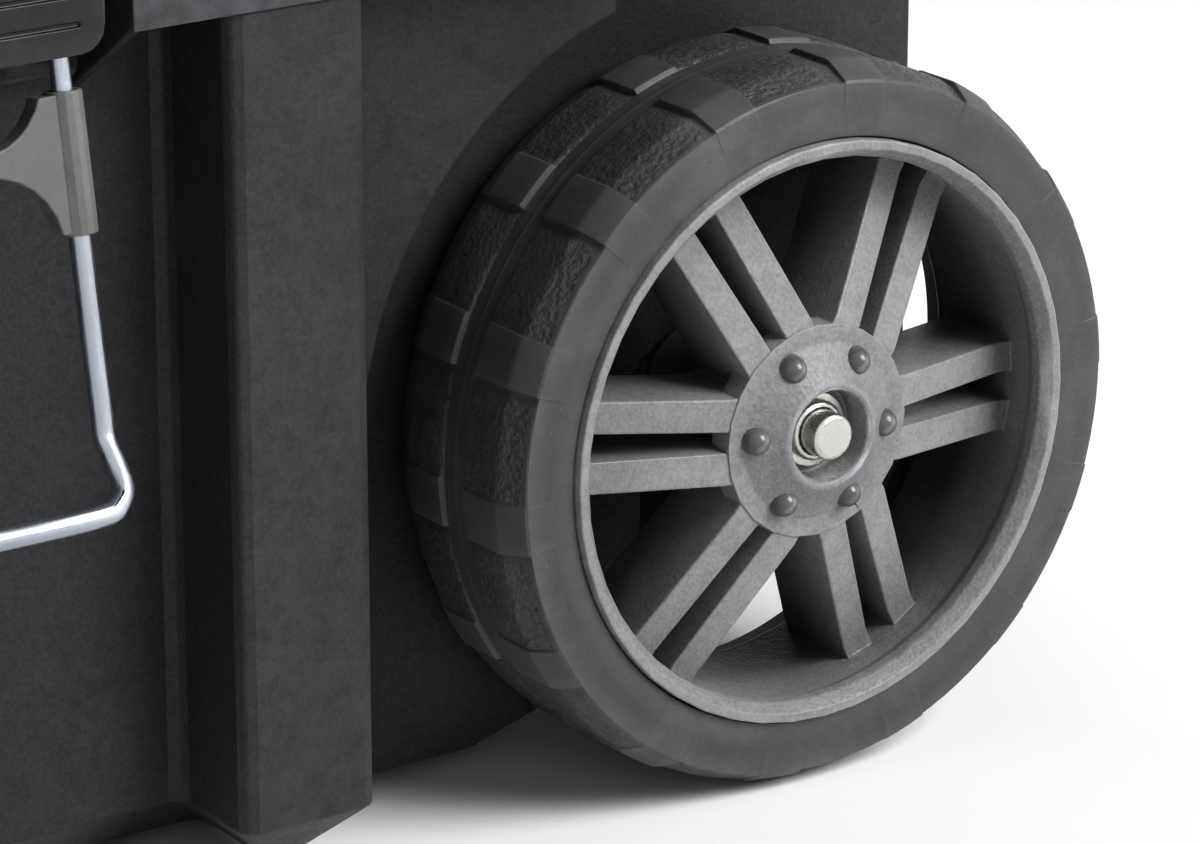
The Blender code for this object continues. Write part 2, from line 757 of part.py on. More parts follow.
def make_tub():
    middle = SPLIT_HEIGHT - COLLAR_HEIGHT / 2
    tub = footed(COLLAR_STEP, FOOT_CHAMFER, UNDERSIDE, middle, 2, "tub_shell")
    edge = rounded_loop(
        rectangle((BODY_LEFT, -FACE_Y), (BODY_RIGHT, FACE_Y)), CORNER_RADIUS, 2
    )
    band = plate(edge, COLLAR_LOW, SPLIT_HEIGHT, name="band")
    added = [band, cheek(-1), cheek(1), *collar_gussets()]
    rib_half = BAY_RIB_WIDTH / 2
    added.append(
        rod(
            (MIDDLE_X - rib_half, -BAY_Y, BAY_RIB_HEIGHT),
            (MIDDLE_X + rib_half, -BAY_Y, BAY_RIB_HEIGHT),
            BAY_RIB_RADIUS,
            12,
        )
    )
    step = KNUCKLE_LENGTH + KNUCKLE_GAP
    for x in hinge_centres():
        for offset in (-step, step):
            added.extend(tub_hinge_knuckle(x + offset))
    join(tub, *added)
    removed = []
    for low_x, high_x, low_y, high_y in collar_pockets():
        removed.append(
            block((low_x, low_y, COLLAR_LOW - PAST), (high_x, high_y, SPLIT_HEIGHT - WALL), "pocket")
        )
    notch = NOTCH_WIDTH / 2
    removed.append(
        block(
            (MIDDLE_X - notch, -FACE_Y - PAST, COLLAR_LOW - PAST),
            (MIDDLE_X + notch, -BAY_Y, SPLIT_HEIGHT + PAST),
            "latch_notch",
        )
    )
    removed.append(tub_cavity())
    removed.append(below_ramp(0.0, "ramp"))
    slot = SLOT_WIDTH / 2
    removed.append(
        block((AXLE_X - slot, -WELL_Y - PAST, -PAST), (AXLE_X + slot, WELL_Y + PAST, SLOT_ROOF), "slot")
    )
    for side in (-1, 1):
        removed.append(wheel_well(0.0, side, "well"))
    for x, y in saddle_screw_places():
        top = SLOT_ROOF + SADDLE_SCREW_REACH
        radius = SADDLE_SCREW_RADIUS + GAP
        removed.append(rod((x, y, SLOT_ROOF - PAST), (x, y, top), radius, 12))
    recess = BODY_RIGHT - END_BAY_DEPTH
    for y, z in bracket_screw_places():
        radius = BRACKET_SCREW_RADIUS + GAP
        removed.append(rod((recess - WALL - PAST, y, z), (recess + PAST, y, z), radius, 12))
    for x, z in keeper_rivet_places():
        radius = RIVET_RADIUS + GAP
        removed.append(rod((x, -BAY_Y - PAST, z), (x, -BAY_Y + WALL + PAST, z), radius, 12))
    for x in hinge_centres():
        removed.append(hinge_bore(x))
    cut(tub, *removed)
    finish(tub, "tub", "body_plastic")


def make_feet():
    for name, side in (("foot_front", -1), ("foot_rear", 1)):
        centre = side * FOOT_SPACING / 2
        left = BODY_LEFT + FOOT_INSET
        foot = block(
            (left, centre - FOOT_WIDTH / 2, 0.0),
            (left + FOOT_LENGTH, centre + FOOT_WIDTH / 2, UNDERSIDE - GAP),
        )
        bevel_edges(foot, lambda e: is_along(e, 2), CORNER_RADIUS, 2)
        finish(foot, name, "grip_rubber")


def make_axle():
    end = WHEEL_FACE_Y + AXLE_PROUD
    flat = end - AXLE_CHAMFER
    centre = (AXLE_X, 0, AXLE_Z)
    profile = [
        (0.0, -end),
        (AXLE_RADIUS - AXLE_CHAMFER, -end),
        (AXLE_RADIUS, -flat),
        (AXLE_RADIUS, flat),
        (AXLE_RADIUS - AXLE_CHAMFER, end),
        (0.0, end),
    ]
    axle = turned(profile, 24, centre, name="axle")
    finish(axle, "axle", "nickel_steel", smooth=True)


def make_saddles():
    """Blocks that fill the slot under the axle at each wheel, each held up by two screws."""
    slot = SLOT_WIDTH / 2 - GAP
    groove = AXLE_RADIUS + GAP
    low = AXLE_Z - SADDLE_DROP
    top = SLOT_ROOF - GAP
    outline = [(AXLE_X - slot, top), (AXLE_X - slot, low), (AXLE_X + slot, low), (AXLE_X + slot, top)]
    outline.append((AXLE_X + groove, top))
    outline += arc((AXLE_X, AXLE_Z), groove, 0.0, -math.pi, 10)
    outline.append((AXLE_X - groove, top))
    for name, side in (("axle_saddle_front", -1), ("axle_saddle_rear", 1)):
        faces = sorted((side * WELL_Y, side * (WELL_Y - SADDLE_LENGTH)))
        saddle = plate(outline, faces[0], faces[1], "XZ", "saddle")
        holes = [
            rod((x, y, low - PAST), (x, y, top + PAST), SADDLE_SCREW_RADIUS + GAP, 12)
            for x, y in saddle_screw_places()
            if y * side > 0
        ]
        cut(saddle, *holes)
        finish(saddle, name, "body_plastic")
    for number, (x, y) in enumerate(saddle_screw_places(), 1):
        tip = SLOT_ROOF + SADDLE_SCREW_REACH - GAP
        screw = rod((x, y, low - GAP - SCREW_HEAD_HEIGHT / 2), (x, y, tip), SADDLE_SCREW_RADIUS, 10)
        head = rod(
            (x, y, low - GAP - SCREW_HEAD_HEIGHT), (x, y, low - GAP), SCREW_HEAD_RADIUS, 14
        )
        join(screw, head)
        finish(screw, f"saddle_screw_{number}", "nickel_steel", smooth=True)


def ring_profile(inner, outer, near, far):
    return [(inner, near), (outer, near), (outer, far), (inner, far)]


def tyre_profile():
    near = TYRE_SETBACK
    far = near + TYRE_WIDTH
    middle = (near + far) / 2
    groove = GROOVE_WIDTH / 2
    return [
        (TYRE_SEAT_RADIUS, near),
        (SHOULDER_RADIUS, near),
        (WHEEL_RADIUS, near + SHOULDER_WIDTH),
        (WHEEL_RADIUS, middle - groove),
        (WHEEL_RADIUS - GROOVE_DEPTH, middle - groove + GROOVE_DEPTH),
        (WHEEL_RADIUS - GROOVE_DEPTH, middle + groove - GROOVE_DEPTH),
        (WHEEL_RADIUS, middle + groove),
        (WHEEL_RADIUS, far - SHOULDER_WIDTH),
        (SHOULDER_RADIUS, far),
        (TYRE_SEAT_RADIUS, far),
    ]


def make_tyre(name, side):
    centre = (AXLE_X, side * WHEEL_FACE_Y, AXLE_Z)
    steps = 4 * TREAD_PITCHES
    tyre = turned(tyre_profile(), steps, centre, side, "tyre")
    gaps = []
    for pitch in range(TREAD_PITCHES):
        angle = TREAD_PHASE + LUG_ANGLE / 2 + pitch * 2 * math.pi / TREAD_PITCHES
        depth = WHEEL_RADIUS - TREAD_GAP_DEPTH
        gap = block((depth, -WIDTH / 2, -TREAD_GAP / 2), (WHEEL_RADIUS + PAST, WIDTH / 2, TREAD_GAP / 2))
        gap.data.transform(Matrix.Rotation(-angle, 4, "Y"))
        gap.data.transform(Matrix.Translation(centre))
        gaps.append(gap)
    cut(tyre, *gaps)
    finish(tyre, name, "tyre_rubber", smooth=True)
    return tyre


def spoke(angle, offset_side, centre, side):
    """One spoke: a deep web whose face slopes back from the hub and stands square at its heel."""
    inner_radius = HUB_DRUM_RADIUS - SPOKE_ROOT
    outer_radius = (BARREL_INNER_RADIUS + TYRE_SEAT_RADIUS) / 2
    near_face = HUB_DISC_SETBACK + SPOKE_STEP
    stations = [
        (inner_radius, near_face),
        (HUB_DISC_RADIUS, near_face),
        (SPOKE_HEEL_RADIUS, SPOKE_SETBACK),
        (outer_radius, SPOKE_SETBACK),
    ]
    shape = bmesh.new()
    bmesh.ops.create_cube(shape, size=1.0)
    for place in (1 / 3, 2 / 3):
        everything = [*shape.verts, *shape.edges, *shape.faces]
        cut_at = (place - 0.5, 0, 0)
        bmesh.ops.bisect_plane(shape, geom=everything, dist=GAP, plane_co=cut_at, plane_no=(1, 0, 0))
    for vert in shape.verts:
        radius, face = stations[round((vert.co.x + 0.5) * 3)]
        out = (radius - inner_radius) / (outer_radius - inner_radius)
        slot = (SPOKE_SLOT_INNER + (SPOKE_SLOT_OUTER - SPOKE_SLOT_INNER) * out) / 2
        width = SPOKE_WIDTH_INNER + (SPOKE_WIDTH_OUTER - SPOKE_WIDTH_INNER) * out
        depth = face + SPOKE_DEPTH if vert.co.y > 0 else face
        across = slot + (width if vert.co.z > 0 else 0.0)
        vert.co = (radius, depth, offset_side * across)
    shape.transform(Matrix.Rotation(-angle, 4, "Y"))
    shape.transform(Matrix.Scale(-side, 4, (0, 1, 0)))
    shape.transform(Matrix.Translation(centre))
    return mesh_object("spoke", shape)


def make_rim(name, side):
    centre = (AXLE_X, side * WHEEL_FACE_Y, AXLE_Z)
    seat = TYRE_SEAT_RADIUS - GAP
    rim = turned(
        [
            (seat, 0.0),
            (seat, BARREL_DEPTH),
            (BARREL_INNER_RADIUS, BARREL_DEPTH),
            (BARREL_INNER_RADIUS, BARREL_LIP_DEPTH),
            (RIM_LIP_RADIUS, 2 * RIM_LIP_SLOPE),
            (RIM_LIP_RADIUS, RIM_LIP_SLOPE),
            (seat - RIM_LIP_FLAT - EDGE / 2, EDGE / 2),
            (seat - RIM_LIP_FLAT, 0.0),
        ],
        BARREL_SIDES,
        centre,
        side,
        "rim",
    )
    hub_end = TYRE_SETBACK + TYRE_WIDTH
    bore = BUSH_RADIUS + GAP
    disc_back = HUB_DISC_SETBACK + HUB_DISC_THICKNESS
    drum_end = HUB_DISC_SETBACK + SPOKE_DEPTH + HUB_TAPER / 2
    hub = turned(
        [
            (BOSS_OPENING_RADIUS, EDGE - BOSS_RISE),
            (BOSS_OPENING_RADIUS + EDGE, -BOSS_RISE),
            (BOSS_TOP_RADIUS, -BOSS_RISE),
            (BOSS_SHOULDER_RADIUS, 0.0),
            (BOSS_BASE_RADIUS, HUB_DISC_SETBACK),
            (HUB_DISC_RADIUS, HUB_DISC_SETBACK),
            (HUB_DISC_RADIUS, disc_back),
            (HUB_DRUM_RADIUS, disc_back + EDGE),
            (HUB_DRUM_RADIUS, drum_end),
            (HUB_TUBE_RADIUS, drum_end + HUB_TAPER),
            (HUB_TUBE_RADIUS, hub_end),
            (bore, hub_end),
            (bore, BOSS_OPENING_DEPTH),
            (BOSS_OPENING_RADIUS, BOSS_OPENING_DEPTH),
        ],
        HUB_SIDES,
        centre,
        side,
        "hub",
    )
    spokes = []
    nuts = []
    for pair in range(SPOKE_PAIRS):
        angle = SPOKE_PHASE + pair * 2 * math.pi / SPOKE_PAIRS
        spokes.append(spoke(angle, 1, centre, side))
        spokes.append(spoke(angle, -1, centre, side))
    for number in range(WHEEL_NUTS):
        angle = SPOKE_PHASE + number * 2 * math.pi / WHEEL_NUTS
        x = AXLE_X + WHEEL_NUT_CIRCLE * math.cos(angle)
        z = AXLE_Z + WHEEL_NUT_CIRCLE * math.sin(angle)
        base = side * (WHEEL_FACE_Y - HUB_DISC_SETBACK - WHEEL_NUT_ROOT)
        tip = side * (WHEEL_FACE_Y - HUB_DISC_SETBACK + WHEEL_NUT_HEIGHT)
        nuts.append(rod((x, base, z), (x, tip, z), WHEEL_NUT_RADIUS, 10, WHEEL_NUT_RADIUS * 0.6))
    join(rim, hub, *spokes, *nuts)
    finish(rim, name, "rim_plastic", smooth=True)
    return rim


def make_wheel(label, side):
    centre = (AXLE_X, side * WHEEL_FACE_Y, AXLE_Z)
    parts = [make_tyre(f"tyre_{label}", side), make_rim(f"rim_{label}", side)]
    hub_end = TYRE_SETBACK + TYRE_WIDTH
    running = AXLE_RADIUS + GAP
    fit = BUSH_RADIUS - GAP / 2
    outer_start = BOSS_OPENING_DEPTH
    inner_start = hub_end - BUSH_LENGTH
    for name, start in (("outer", outer_start), ("inner", inner_start)):
        profile = ring_profile(running, fit, start, start + BUSH_LENGTH)
        bush = turned(profile, SMALL_SIDES, centre, side, "bush")
        parts.append(finish(bush, f"bush_{name}_{label}", "bush_plastic", smooth=True))
    for part in parts:
        set_pivot(part, centre)
    spacer = turned(
        ring_profile(running, SPACER_RADIUS, hub_end + GAP, hub_end + WELL_CLEARANCE - GAP),
        SMALL_SIDES,
        centre,
        side,
        "spacer",
    )
    finish(spacer, f"axle_spacer_{label}", "nickel_steel", smooth=True)
    washer_back = BOSS_OPENING_DEPTH - GAP
    washer_front = washer_back - WASHER_THICKNESS
    washer_profile = ring_profile(running, WASHER_RADIUS, washer_front, washer_back)
    washer = turned(washer_profile, SMALL_SIDES, centre, side, "washer")
    finish(washer, f"axle_washer_{label}", "nickel_steel", smooth=True)
    nut_back = washer_front - GAP
    nut_front = nut_back - CAP_NUT_THICKNESS
    nut = turned(
        [
            (running, nut_front),
            (CAP_NUT_RADIUS - EDGE, nut_front),
            (CAP_NUT_RADIUS, nut_front + EDGE),
            (CAP_NUT_RADIUS, nut_back),
            (running, nut_back),
        ],
        SMALL_SIDES,
        centre,
        side,
        "nut",
    )
    finish(nut, f"axle_nut_{label}", "nickel_steel", smooth=True)


def latch_notch_box(margin):
    half = LID_NOTCH_WIDTH / 2 + margin
    back = -FACE_Y + LID_NOTCH_DEPTH + margin
    return (
        (MIDDLE_X - half, -FACE_Y - PAST, LID_LOW - PAST),
        (MIDDLE_X + half, back, LID_NOTCH_TOP + margin),
    )


def handle_pocket_box(margin):
    half = POCKET_LENGTH / 2 + margin
    return (
        (MIDDLE_X - half, POCKET_FRONT - margin, HEIGHT - POCKET_DEPTH - margin),
        (MIDDLE_X + half, POCKET_BACK + margin, HEIGHT + PAST),
    )


def lid_shape(inset, low, name):
    """The lid's outer form, or its inside where inset is the wall."""
    top = HEIGHT - inset
    lid = block(
        (BODY_LEFT + inset, -FACE_Y + inset, low), (BODY_RIGHT - inset, FACE_Y - inset, top), name
    )
    bevel_edges(lid, lambda e: is_level_at(e, top), LID_TOP_BEVEL, 2)
    return lid


def make_lid():
    lid = lid_shape(0.0, LID_LOW, "lid_shell")
    upright = HEIGHT - LID_TOP_BEVEL - LID_LOW
    bevel_edges(
        lid, lambda e: is_along(e, 2) and e.calc_length() > upright / 2, CORNER_RADIUS, 2
    )
    inside = lid_shape(LID_WALL, LID_LOW - PAST, "lid_inside")
    cut(
        inside,
        block(*latch_notch_box(LID_WALL), "notch_wall"),
        block(*handle_pocket_box(LID_WALL), "pocket_wall"),
    )
    added = []
    for x in hinge_centres():
        added.extend(tub_hinge_knuckle(x, lid=True))
    join(lid, *added)
    removed = [
        inside,
        block(*latch_notch_box(0.0), "lid_notch"),
        block(*handle_pocket_box(0.0), "handle_pocket"),
    ]
    for x in hinge_centres():
        removed.append(hinge_bore(x))
    reach = LID_NOTCH_WIDTH / 2 + LID_WALL + PAST
    removed.append(
        rod(
            (MIDDLE_X - reach, LATCH_PIVOT_Y, LATCH_PIVOT_Z),
            (MIDDLE_X + reach, LATCH_PIVOT_Y, LATCH_PIVOT_Z),
            LATCH_PIN_RADIUS + GAP,
            16,
        )
    )
    reach = POCKET_LENGTH / 2 + LID_WALL + PAST
    removed.append(
        rod(
            (MIDDLE_X - reach, HANDLE_PIVOT_Y, HANDLE_PIVOT_Z),
            (MIDDLE_X + reach, HANDLE_PIVOT_Y, HANDLE_PIVOT_Z),
            HANDLE_PIN_RADIUS + GAP,
            16,
        )
    )
    cut(lid, *removed)
    finish(lid, "lid", "lid_plastic")
    set_pivot_keeping_tools(lid)
    for name, x in zip(("hinge_pin_left", "hinge_pin_right"), hinge_centres()):
        half = 1.5 * KNUCKLE_LENGTH + KNUCKLE_GAP
        pin = rod((x - half, HINGE_Y, HINGE_Z), (x + half, HINGE_Y, HINGE_Z), HINGE_PIN_RADIUS, 14)
        finish(pin, name, "nickel_steel", smooth=True)


def set_pivot_keeping_tools(lid):
    """Puts the lid's origin on the hinge once its cuts are made."""
    apply_modifiers(lid)
    set_pivot(lid, (MIDDLE_X, HINGE_Y, HINGE_Z))


def make_keeper():
    """The steel strip in the tub's notch that the latch's nose snaps over."""
    back = -BAY_Y - GAP
    front = back - KEEPER_THICKNESS
    low = SPLIT_HEIGHT - KEEPER_HEIGHT
    top = SPLIT_HEIGHT - GAP
    lip = back - KEEPER_LIP
    outline = [
        (back, low),
        (back, top),
        (lip, top),
        (lip, top - KEEPER_THICKNESS),
        (front, top - KEEPER_THICKNESS),
        (front, low),
    ]
    half = KEEPER_WIDTH / 2
    keeper = plate(outline, MIDDLE_X - half, MIDDLE_X + half, "YZ", "keeper")
    holes = [
        rod((x, front - PAST, z), (x, back + PAST, z), RIVET_RADIUS + GAP, 12)
        for x, z in keeper_rivet_places()
    ]
    cut(keeper, *holes)
    finish(keeper, "latch_keeper", "zinc_wire")
    for name, (x, z) in zip(("keeper_rivet_left", "keeper_rivet_right"), keeper_rivet_places()):
        head_back = front - GAP
        tip = head_back - RIVET_HEAD_HEIGHT
        rivet = rod((x, (tip + head_back) / 2, z), (x, -BAY_Y + WALL, z), RIVET_RADIUS, 10)
        head = rod((x, tip, z), (x, head_back, z), RIVET_CROWN_RADIUS, 12, RIVET_HEAD_RADIUS)
        join(rivet, head)
        finish(rivet, name, "zinc_wire", smooth=True)


def wire_y(height):
    """How far forward the leaning wire stands at a height."""
    return WIRE_REF_Y - (WIRE_REF_Z - height) * math.tan(WIRE_LEAN)


def rounded_path(corners, radius, steps):
    """A line through the corners, each corner replaced by an arc."""
    path = [Vector(corners[0])]
    for before, corner, after in zip(corners, corners[1:], corners[2:]):
        corner = Vector(corner)
        to_before = (Vector(before) - corner).normalized()
        to_after = (Vector(after) - corner).normalized()
        half_angle = to_before.angle(to_after) / 2
        run = radius / math.tan(half_angle)
        start = corner + to_before * run
        end = corner + to_after * run
        centre = corner + (to_before + to_after).normalized() * radius / math.sin(half_angle)
        for step in range(steps + 1):
            spot = start.lerp(end, step / steps) - centre
            path.append(centre + spot.normalized() * radius)
    path.append(Vector(corners[-1]))
    return path


def tube(path, radius, resolution, name):
    """A round wire along a path, with flat ends."""
    obj = new_curve(name, "3D")
    curve = obj.data
    curve.bevel_depth = radius
    curve.bevel_resolution = resolution
    curve.use_fill_caps = True
    spline = curve.splines.new("POLY")
    spline.points.add(len(path) - 1)
    for point, place in zip(spline.points, path):
        point.co = (*place, 1.0)
    return from_curve(obj, name)


def wire_path():
    half = WIRE_SPREAD / 2
    corners = []
    for side in (-1, 1):
        x = MIDDLE_X + side * half
        leg = [
            (x, wire_y(WIRE_TOP), WIRE_TOP),
            (x, wire_y(WIRE_KINK_Z), WIRE_KINK_Z),
            (x, WIRE_BAR_Y, WIRE_BAR_Z),
        ]
        corners += leg if side < 0 else reversed(leg)
    return rounded_path(corners, WIRE_BEND, 3)


def leg_bores(radius, low, high):
    """Cutters along both wire legs between two heights."""
    return [
        rod((x, wire_y(low), low), (x, wire_y(high), high), radius, 16)
        for x in (MIDDLE_X - WIRE_SPREAD / 2, MIDDLE_X + WIRE_SPREAD / 2)
    ]


def make_housing():
    """The latch's black plastic head: a grooved thumb plate with a barrel that turns on the pin."""
    half = HOUSING_WIDTH / 2
    plate_top = LATCH_PIVOT_Z - 0.003
    corner = HOUSING_CORNER
    outline = [(-half, plate_top)]
    outline += arc((-half + corner, HOUSING_BOTTOM + corner), corner, math.pi, 1.5 * math.pi, 4)
    outline += arc((half - corner, HOUSING_BOTTOM + corner), corner, 1.5 * math.pi, 2 * math.pi, 4)
    outline.append((half, plate_top))
    outline = [(MIDDLE_X + x, z) for x, z in outline]
    housing = plate(outline, HOUSING_FACE_Y, HOUSING_BACK_Y, "XZ", "housing")
    barrel = rod(
        (MIDDLE_X - half + GAP, LATCH_PIVOT_Y, LATCH_PIVOT_Z),
        (MIDDLE_X + half - GAP, LATCH_PIVOT_Y, LATCH_PIVOT_Z),
        LATCH_BARREL_RADIUS,
        24,
    )
    nose_half = NOSE_WIDTH / 2
    nose = plate(
        [
            (HOUSING_BACK_Y - 0.002, NOSE_HEIGHT - 0.004),
            (HOUSING_BACK_Y + NOSE_REACH, NOSE_HEIGHT + 0.004),
            (HOUSING_BACK_Y + NOSE_REACH, NOSE_HEIGHT + 0.007),
            (HOUSING_BACK_Y - 0.002, NOSE_HEIGHT + 0.009),
        ],
        MIDDLE_X - nose_half,
        MIDDLE_X + nose_half,
        "YZ",
        "nose",
    )
    join(housing, barrel, nose)
    removed = leg_bores(WIRE_RADIUS + GAP, HOUSING_BOTTOM - PAST, WIRE_TOP + GAP)
    groove_half = half - HOUSING_GROOVE_END
    for number in range(HOUSING_GROOVES):
        height = HOUSING_BOTTOM + HOUSING_CORNER + number * HOUSING_GROOVE_PITCH
        removed.append(
            block(
                (MIDDLE_X - groove_half, HOUSING_FACE_Y - PAST, height),
                (
                    MIDDLE_X + groove_half,
                    HOUSING_FACE_Y + HOUSING_GROOVE_DEPTH,
                    height + HOUSING_GROOVE_WIDTH,
                ),
                "groove",
            )
        )
    reach = half + PAST
    removed.append(
        rod(
            (MIDDLE_X - reach, LATCH_PIVOT_Y, LATCH_PIVOT_Z),
            (MIDDLE_X + reach, LATCH_PIVOT_Y, LATCH_PIVOT_Z),
            LATCH_PIN_RADIUS + GAP,
            16,
        )
    )
    cut(housing, *removed)
    return finish(apply_modifiers(housing), "latch_housing", "latch_plastic")


def make_web():
    """The grey spreader moulded round both wire legs."""
    half = WIRE_SPREAD / 2
    inner = half - WEB_SLEEVE_RADIUS
    low = math.asin(min(0.99, inner / (WEB_BOTTOM_ARC + 0.001)))
    top_centre = WEB_TOP + WEB_TOP_ARC * 0.35
    reach = math.acos((top_centre - WEB_TOP) / WEB_TOP_ARC)
    bottom_centre = WEB_BOTTOM - (WEB_BOTTOM_ARC + 0.001) * math.cos(low)
    outline = [(-half, WEB_TOP)]
    outline += [(-half, WEB_BOTTOM), (-inner, WEB_BOTTOM)]
    outline += arc(
        (0, bottom_centre), WEB_BOTTOM_ARC + 0.001, math.pi / 2 + low, math.pi / 2 - low, 12
    )[1:]
    outline += [(half, WEB_BOTTOM), (half, WEB_TOP)]
    outline += arc(
        (0, top_centre), WEB_TOP_ARC, 1.5 * math.pi + reach, 1.5 * math.pi - reach, 12
    )
    outline = [(MIDDLE_X + x, z) for x, z in outline]
    web = plate(outline, -WEB_THICKNESS / 2, WEB_THICKNESS / 2, "XZ", "web")
    middle = (WEB_TOP + WEB_BOTTOM) / 2
    web.data.transform(Matrix.Translation((0, 0, -middle)))
    web.data.transform(Matrix.Rotation(-WIRE_LEAN, 4, "X"))
    web.data.transform(Matrix.Translation((0, wire_y(middle), middle)))
    join(web, *leg_bores(WEB_SLEEVE_RADIUS, WEB_BOTTOM - WEB_SLEEVE_RUN, WEB_TOP + WEB_SLEEVE_RUN))
    cut(web, *leg_bores(WIRE_RADIUS + GAP, WEB_BOTTOM - 2 * PAST, WEB_TOP + 2 * PAST))
    return finish(apply_modifiers(web), "latch_spreader", "web_plastic")


def make_latch():
    pivot = (MIDDLE_X, LATCH_PIVOT_Y, LATCH_PIVOT_Z)
    wire = finish(tube(wire_path(), WIRE_RADIUS, 3, "wire"), "latch_bail", "zinc_wire", smooth=True)
    for part in (wire, make_housing(), make_web()):
        set_pivot(part, pivot)
    reach = LID_NOTCH_WIDTH / 2 + LID_WALL
    pin = rod(
        (MIDDLE_X - reach, LATCH_PIVOT_Y, LATCH_PIVOT_Z),
        (MIDDLE_X + reach, LATCH_PIVOT_Y, LATCH_PIVOT_Z),
        LATCH_PIN_RADIUS,
        16,
    )
    finish(pin, "latch_pin", "nickel_steel", smooth=True)


def make_carry_handle():
    half = POCKET_LENGTH / 2 - GAP * 2
    inner = half - HANDLE_ARM_WIDTH
    low = HANDLE_PIVOT_Z - HANDLE_BAR_HEIGHT / 2
    high = HANDLE_PIVOT_Z + HANDLE_BAR_HEIGHT / 2
    bar_front = HANDLE_BAR_Y - HANDLE_BAR_WIDTH / 2
    bar_back = HANDLE_BAR_Y + HANDLE_BAR_WIDTH / 2
    handle = block((MIDDLE_X - half, bar_front, low), (MIDDLE_X + half, bar_back, high), "bar")
    arms = []
    for side in (-1, 1):
        near, far = sorted((MIDDLE_X + side * inner, MIDDLE_X + side * half))
        arm_low = HANDLE_PIVOT_Z - HANDLE_ARM_HEIGHT / 2
        arm_high = HANDLE_PIVOT_Z + HANDLE_ARM_HEIGHT / 2
        arms.append(block((near, bar_front - 0.001, arm_low), (far, HANDLE_PIVOT_Y, arm_high), "arm"))
        arms.append(
            rod(
                (near, HANDLE_PIVOT_Y, HANDLE_PIVOT_Z),
                (far, HANDLE_PIVOT_Y, HANDLE_PIVOT_Z),
                HANDLE_ARM_HEIGHT / 2,
                20,
            )
        )
    join(handle, *arms)
    pin_inner = inner - PAST
    bores = []
    for side in (-1, 1):
        bores.append(
            rod(
                (MIDDLE_X + side * pin_inner, HANDLE_PIVOT_Y, HANDLE_PIVOT_Z),
                (MIDDLE_X + side * (half + PAST), HANDLE_PIVOT_Y, HANDLE_PIVOT_Z),
                HANDLE_PIN_RADIUS + GAP,
                16,
            )
        )
    cut(handle, *bores)
    pivot = (MIDDLE_X, HANDLE_PIVOT_Y, HANDLE_PIVOT_Z)
    set_pivot(finish(apply_modifiers(handle), "carry_handle", "lid_plastic"), pivot)
    grip = block(
        (MIDDLE_X - GRIP_LENGTH / 2, bar_front - GRIP_WALL, low - GRIP_WALL),
        (MIDDLE_X + GRIP_LENGTH / 2, bar_back + GRIP_WALL, high + GRIP_WALL),
        "grip",
    )
    bevel_edges(grip, lambda e: is_along(e, 0), GRIP_WALL, 3)
    core = block(
        (MIDDLE_X - GRIP_LENGTH, bar_front - GAP, low - GAP),
        (MIDDLE_X + GRIP_LENGTH, bar_back + GAP, high + GAP),
        "core",
    )
    cut(grip, core)
    set_pivot(finish(apply_modifiers(grip), "carry_grip", "grip_rubber"), pivot)
    pin_outer = POCKET_LENGTH / 2 + LID_WALL
    for name, side in (("handle_pin_left", -1), ("handle_pin_right", 1)):
        pin = rod(
            (MIDDLE_X + side * (inner + 0.001), HANDLE_PIVOT_Y, HANDLE_PIVOT_Z),
            (MIDDLE_X + side * pin_outer, HANDLE_PIVOT_Y, HANDLE_PIVOT_Z),
            HANDLE_PIN_RADIUS,
            14,
        )
        finish(pin, name, "nickel_steel", smooth=True)


def hollow_tube(y, depth, width, low, high, name, material):
    """A rectangular tube standing on end, open at both ends."""
    shell = block((TUBE_X - depth / 2, y - width / 2, low), (TUBE_X + depth / 2, y + width / 2, high))
    bevel_edges(shell, lambda e: is_along(e, 2), TUBE_WALL, 2)
    inner_depth = depth / 2 - TUBE_WALL
    inner_width = width / 2 - TUBE_WALL
    core = block(
        (TUBE_X - inner_depth, y - inner_width, low - PAST),
        (TUBE_X + inner_depth, y + inner_width, high + PAST),
        "tube_core",
    )
    cut(shell, core)
    return finish(apply_modifiers(shell), name, material)


def tube_places():
    return (("front", -TUBE_SPACING / 2), ("rear", TUBE_SPACING / 2))


def stage_size(stage):
    """Outer depth and width of the tubes: stage 0 is the fixed guide, 2 the innermost."""
    shrink = stage * 2 * (TUBE_WALL + GAP)
    return GUIDE_DEPTH - shrink, GUIDE_WIDTH - shrink


def tube_holes(stage, low, high):
    """Cutters for the places where the tubes of one stage pass through a piece."""
    depth, width = stage_size(stage)
    depth = depth / 2 + GAP
    width = width / 2 + GAP
    return [
        block((TUBE_X - depth, y - width, low), (TUBE_X + depth, y + width, high), "tube_hole")
        for _, y in tube_places()
    ]


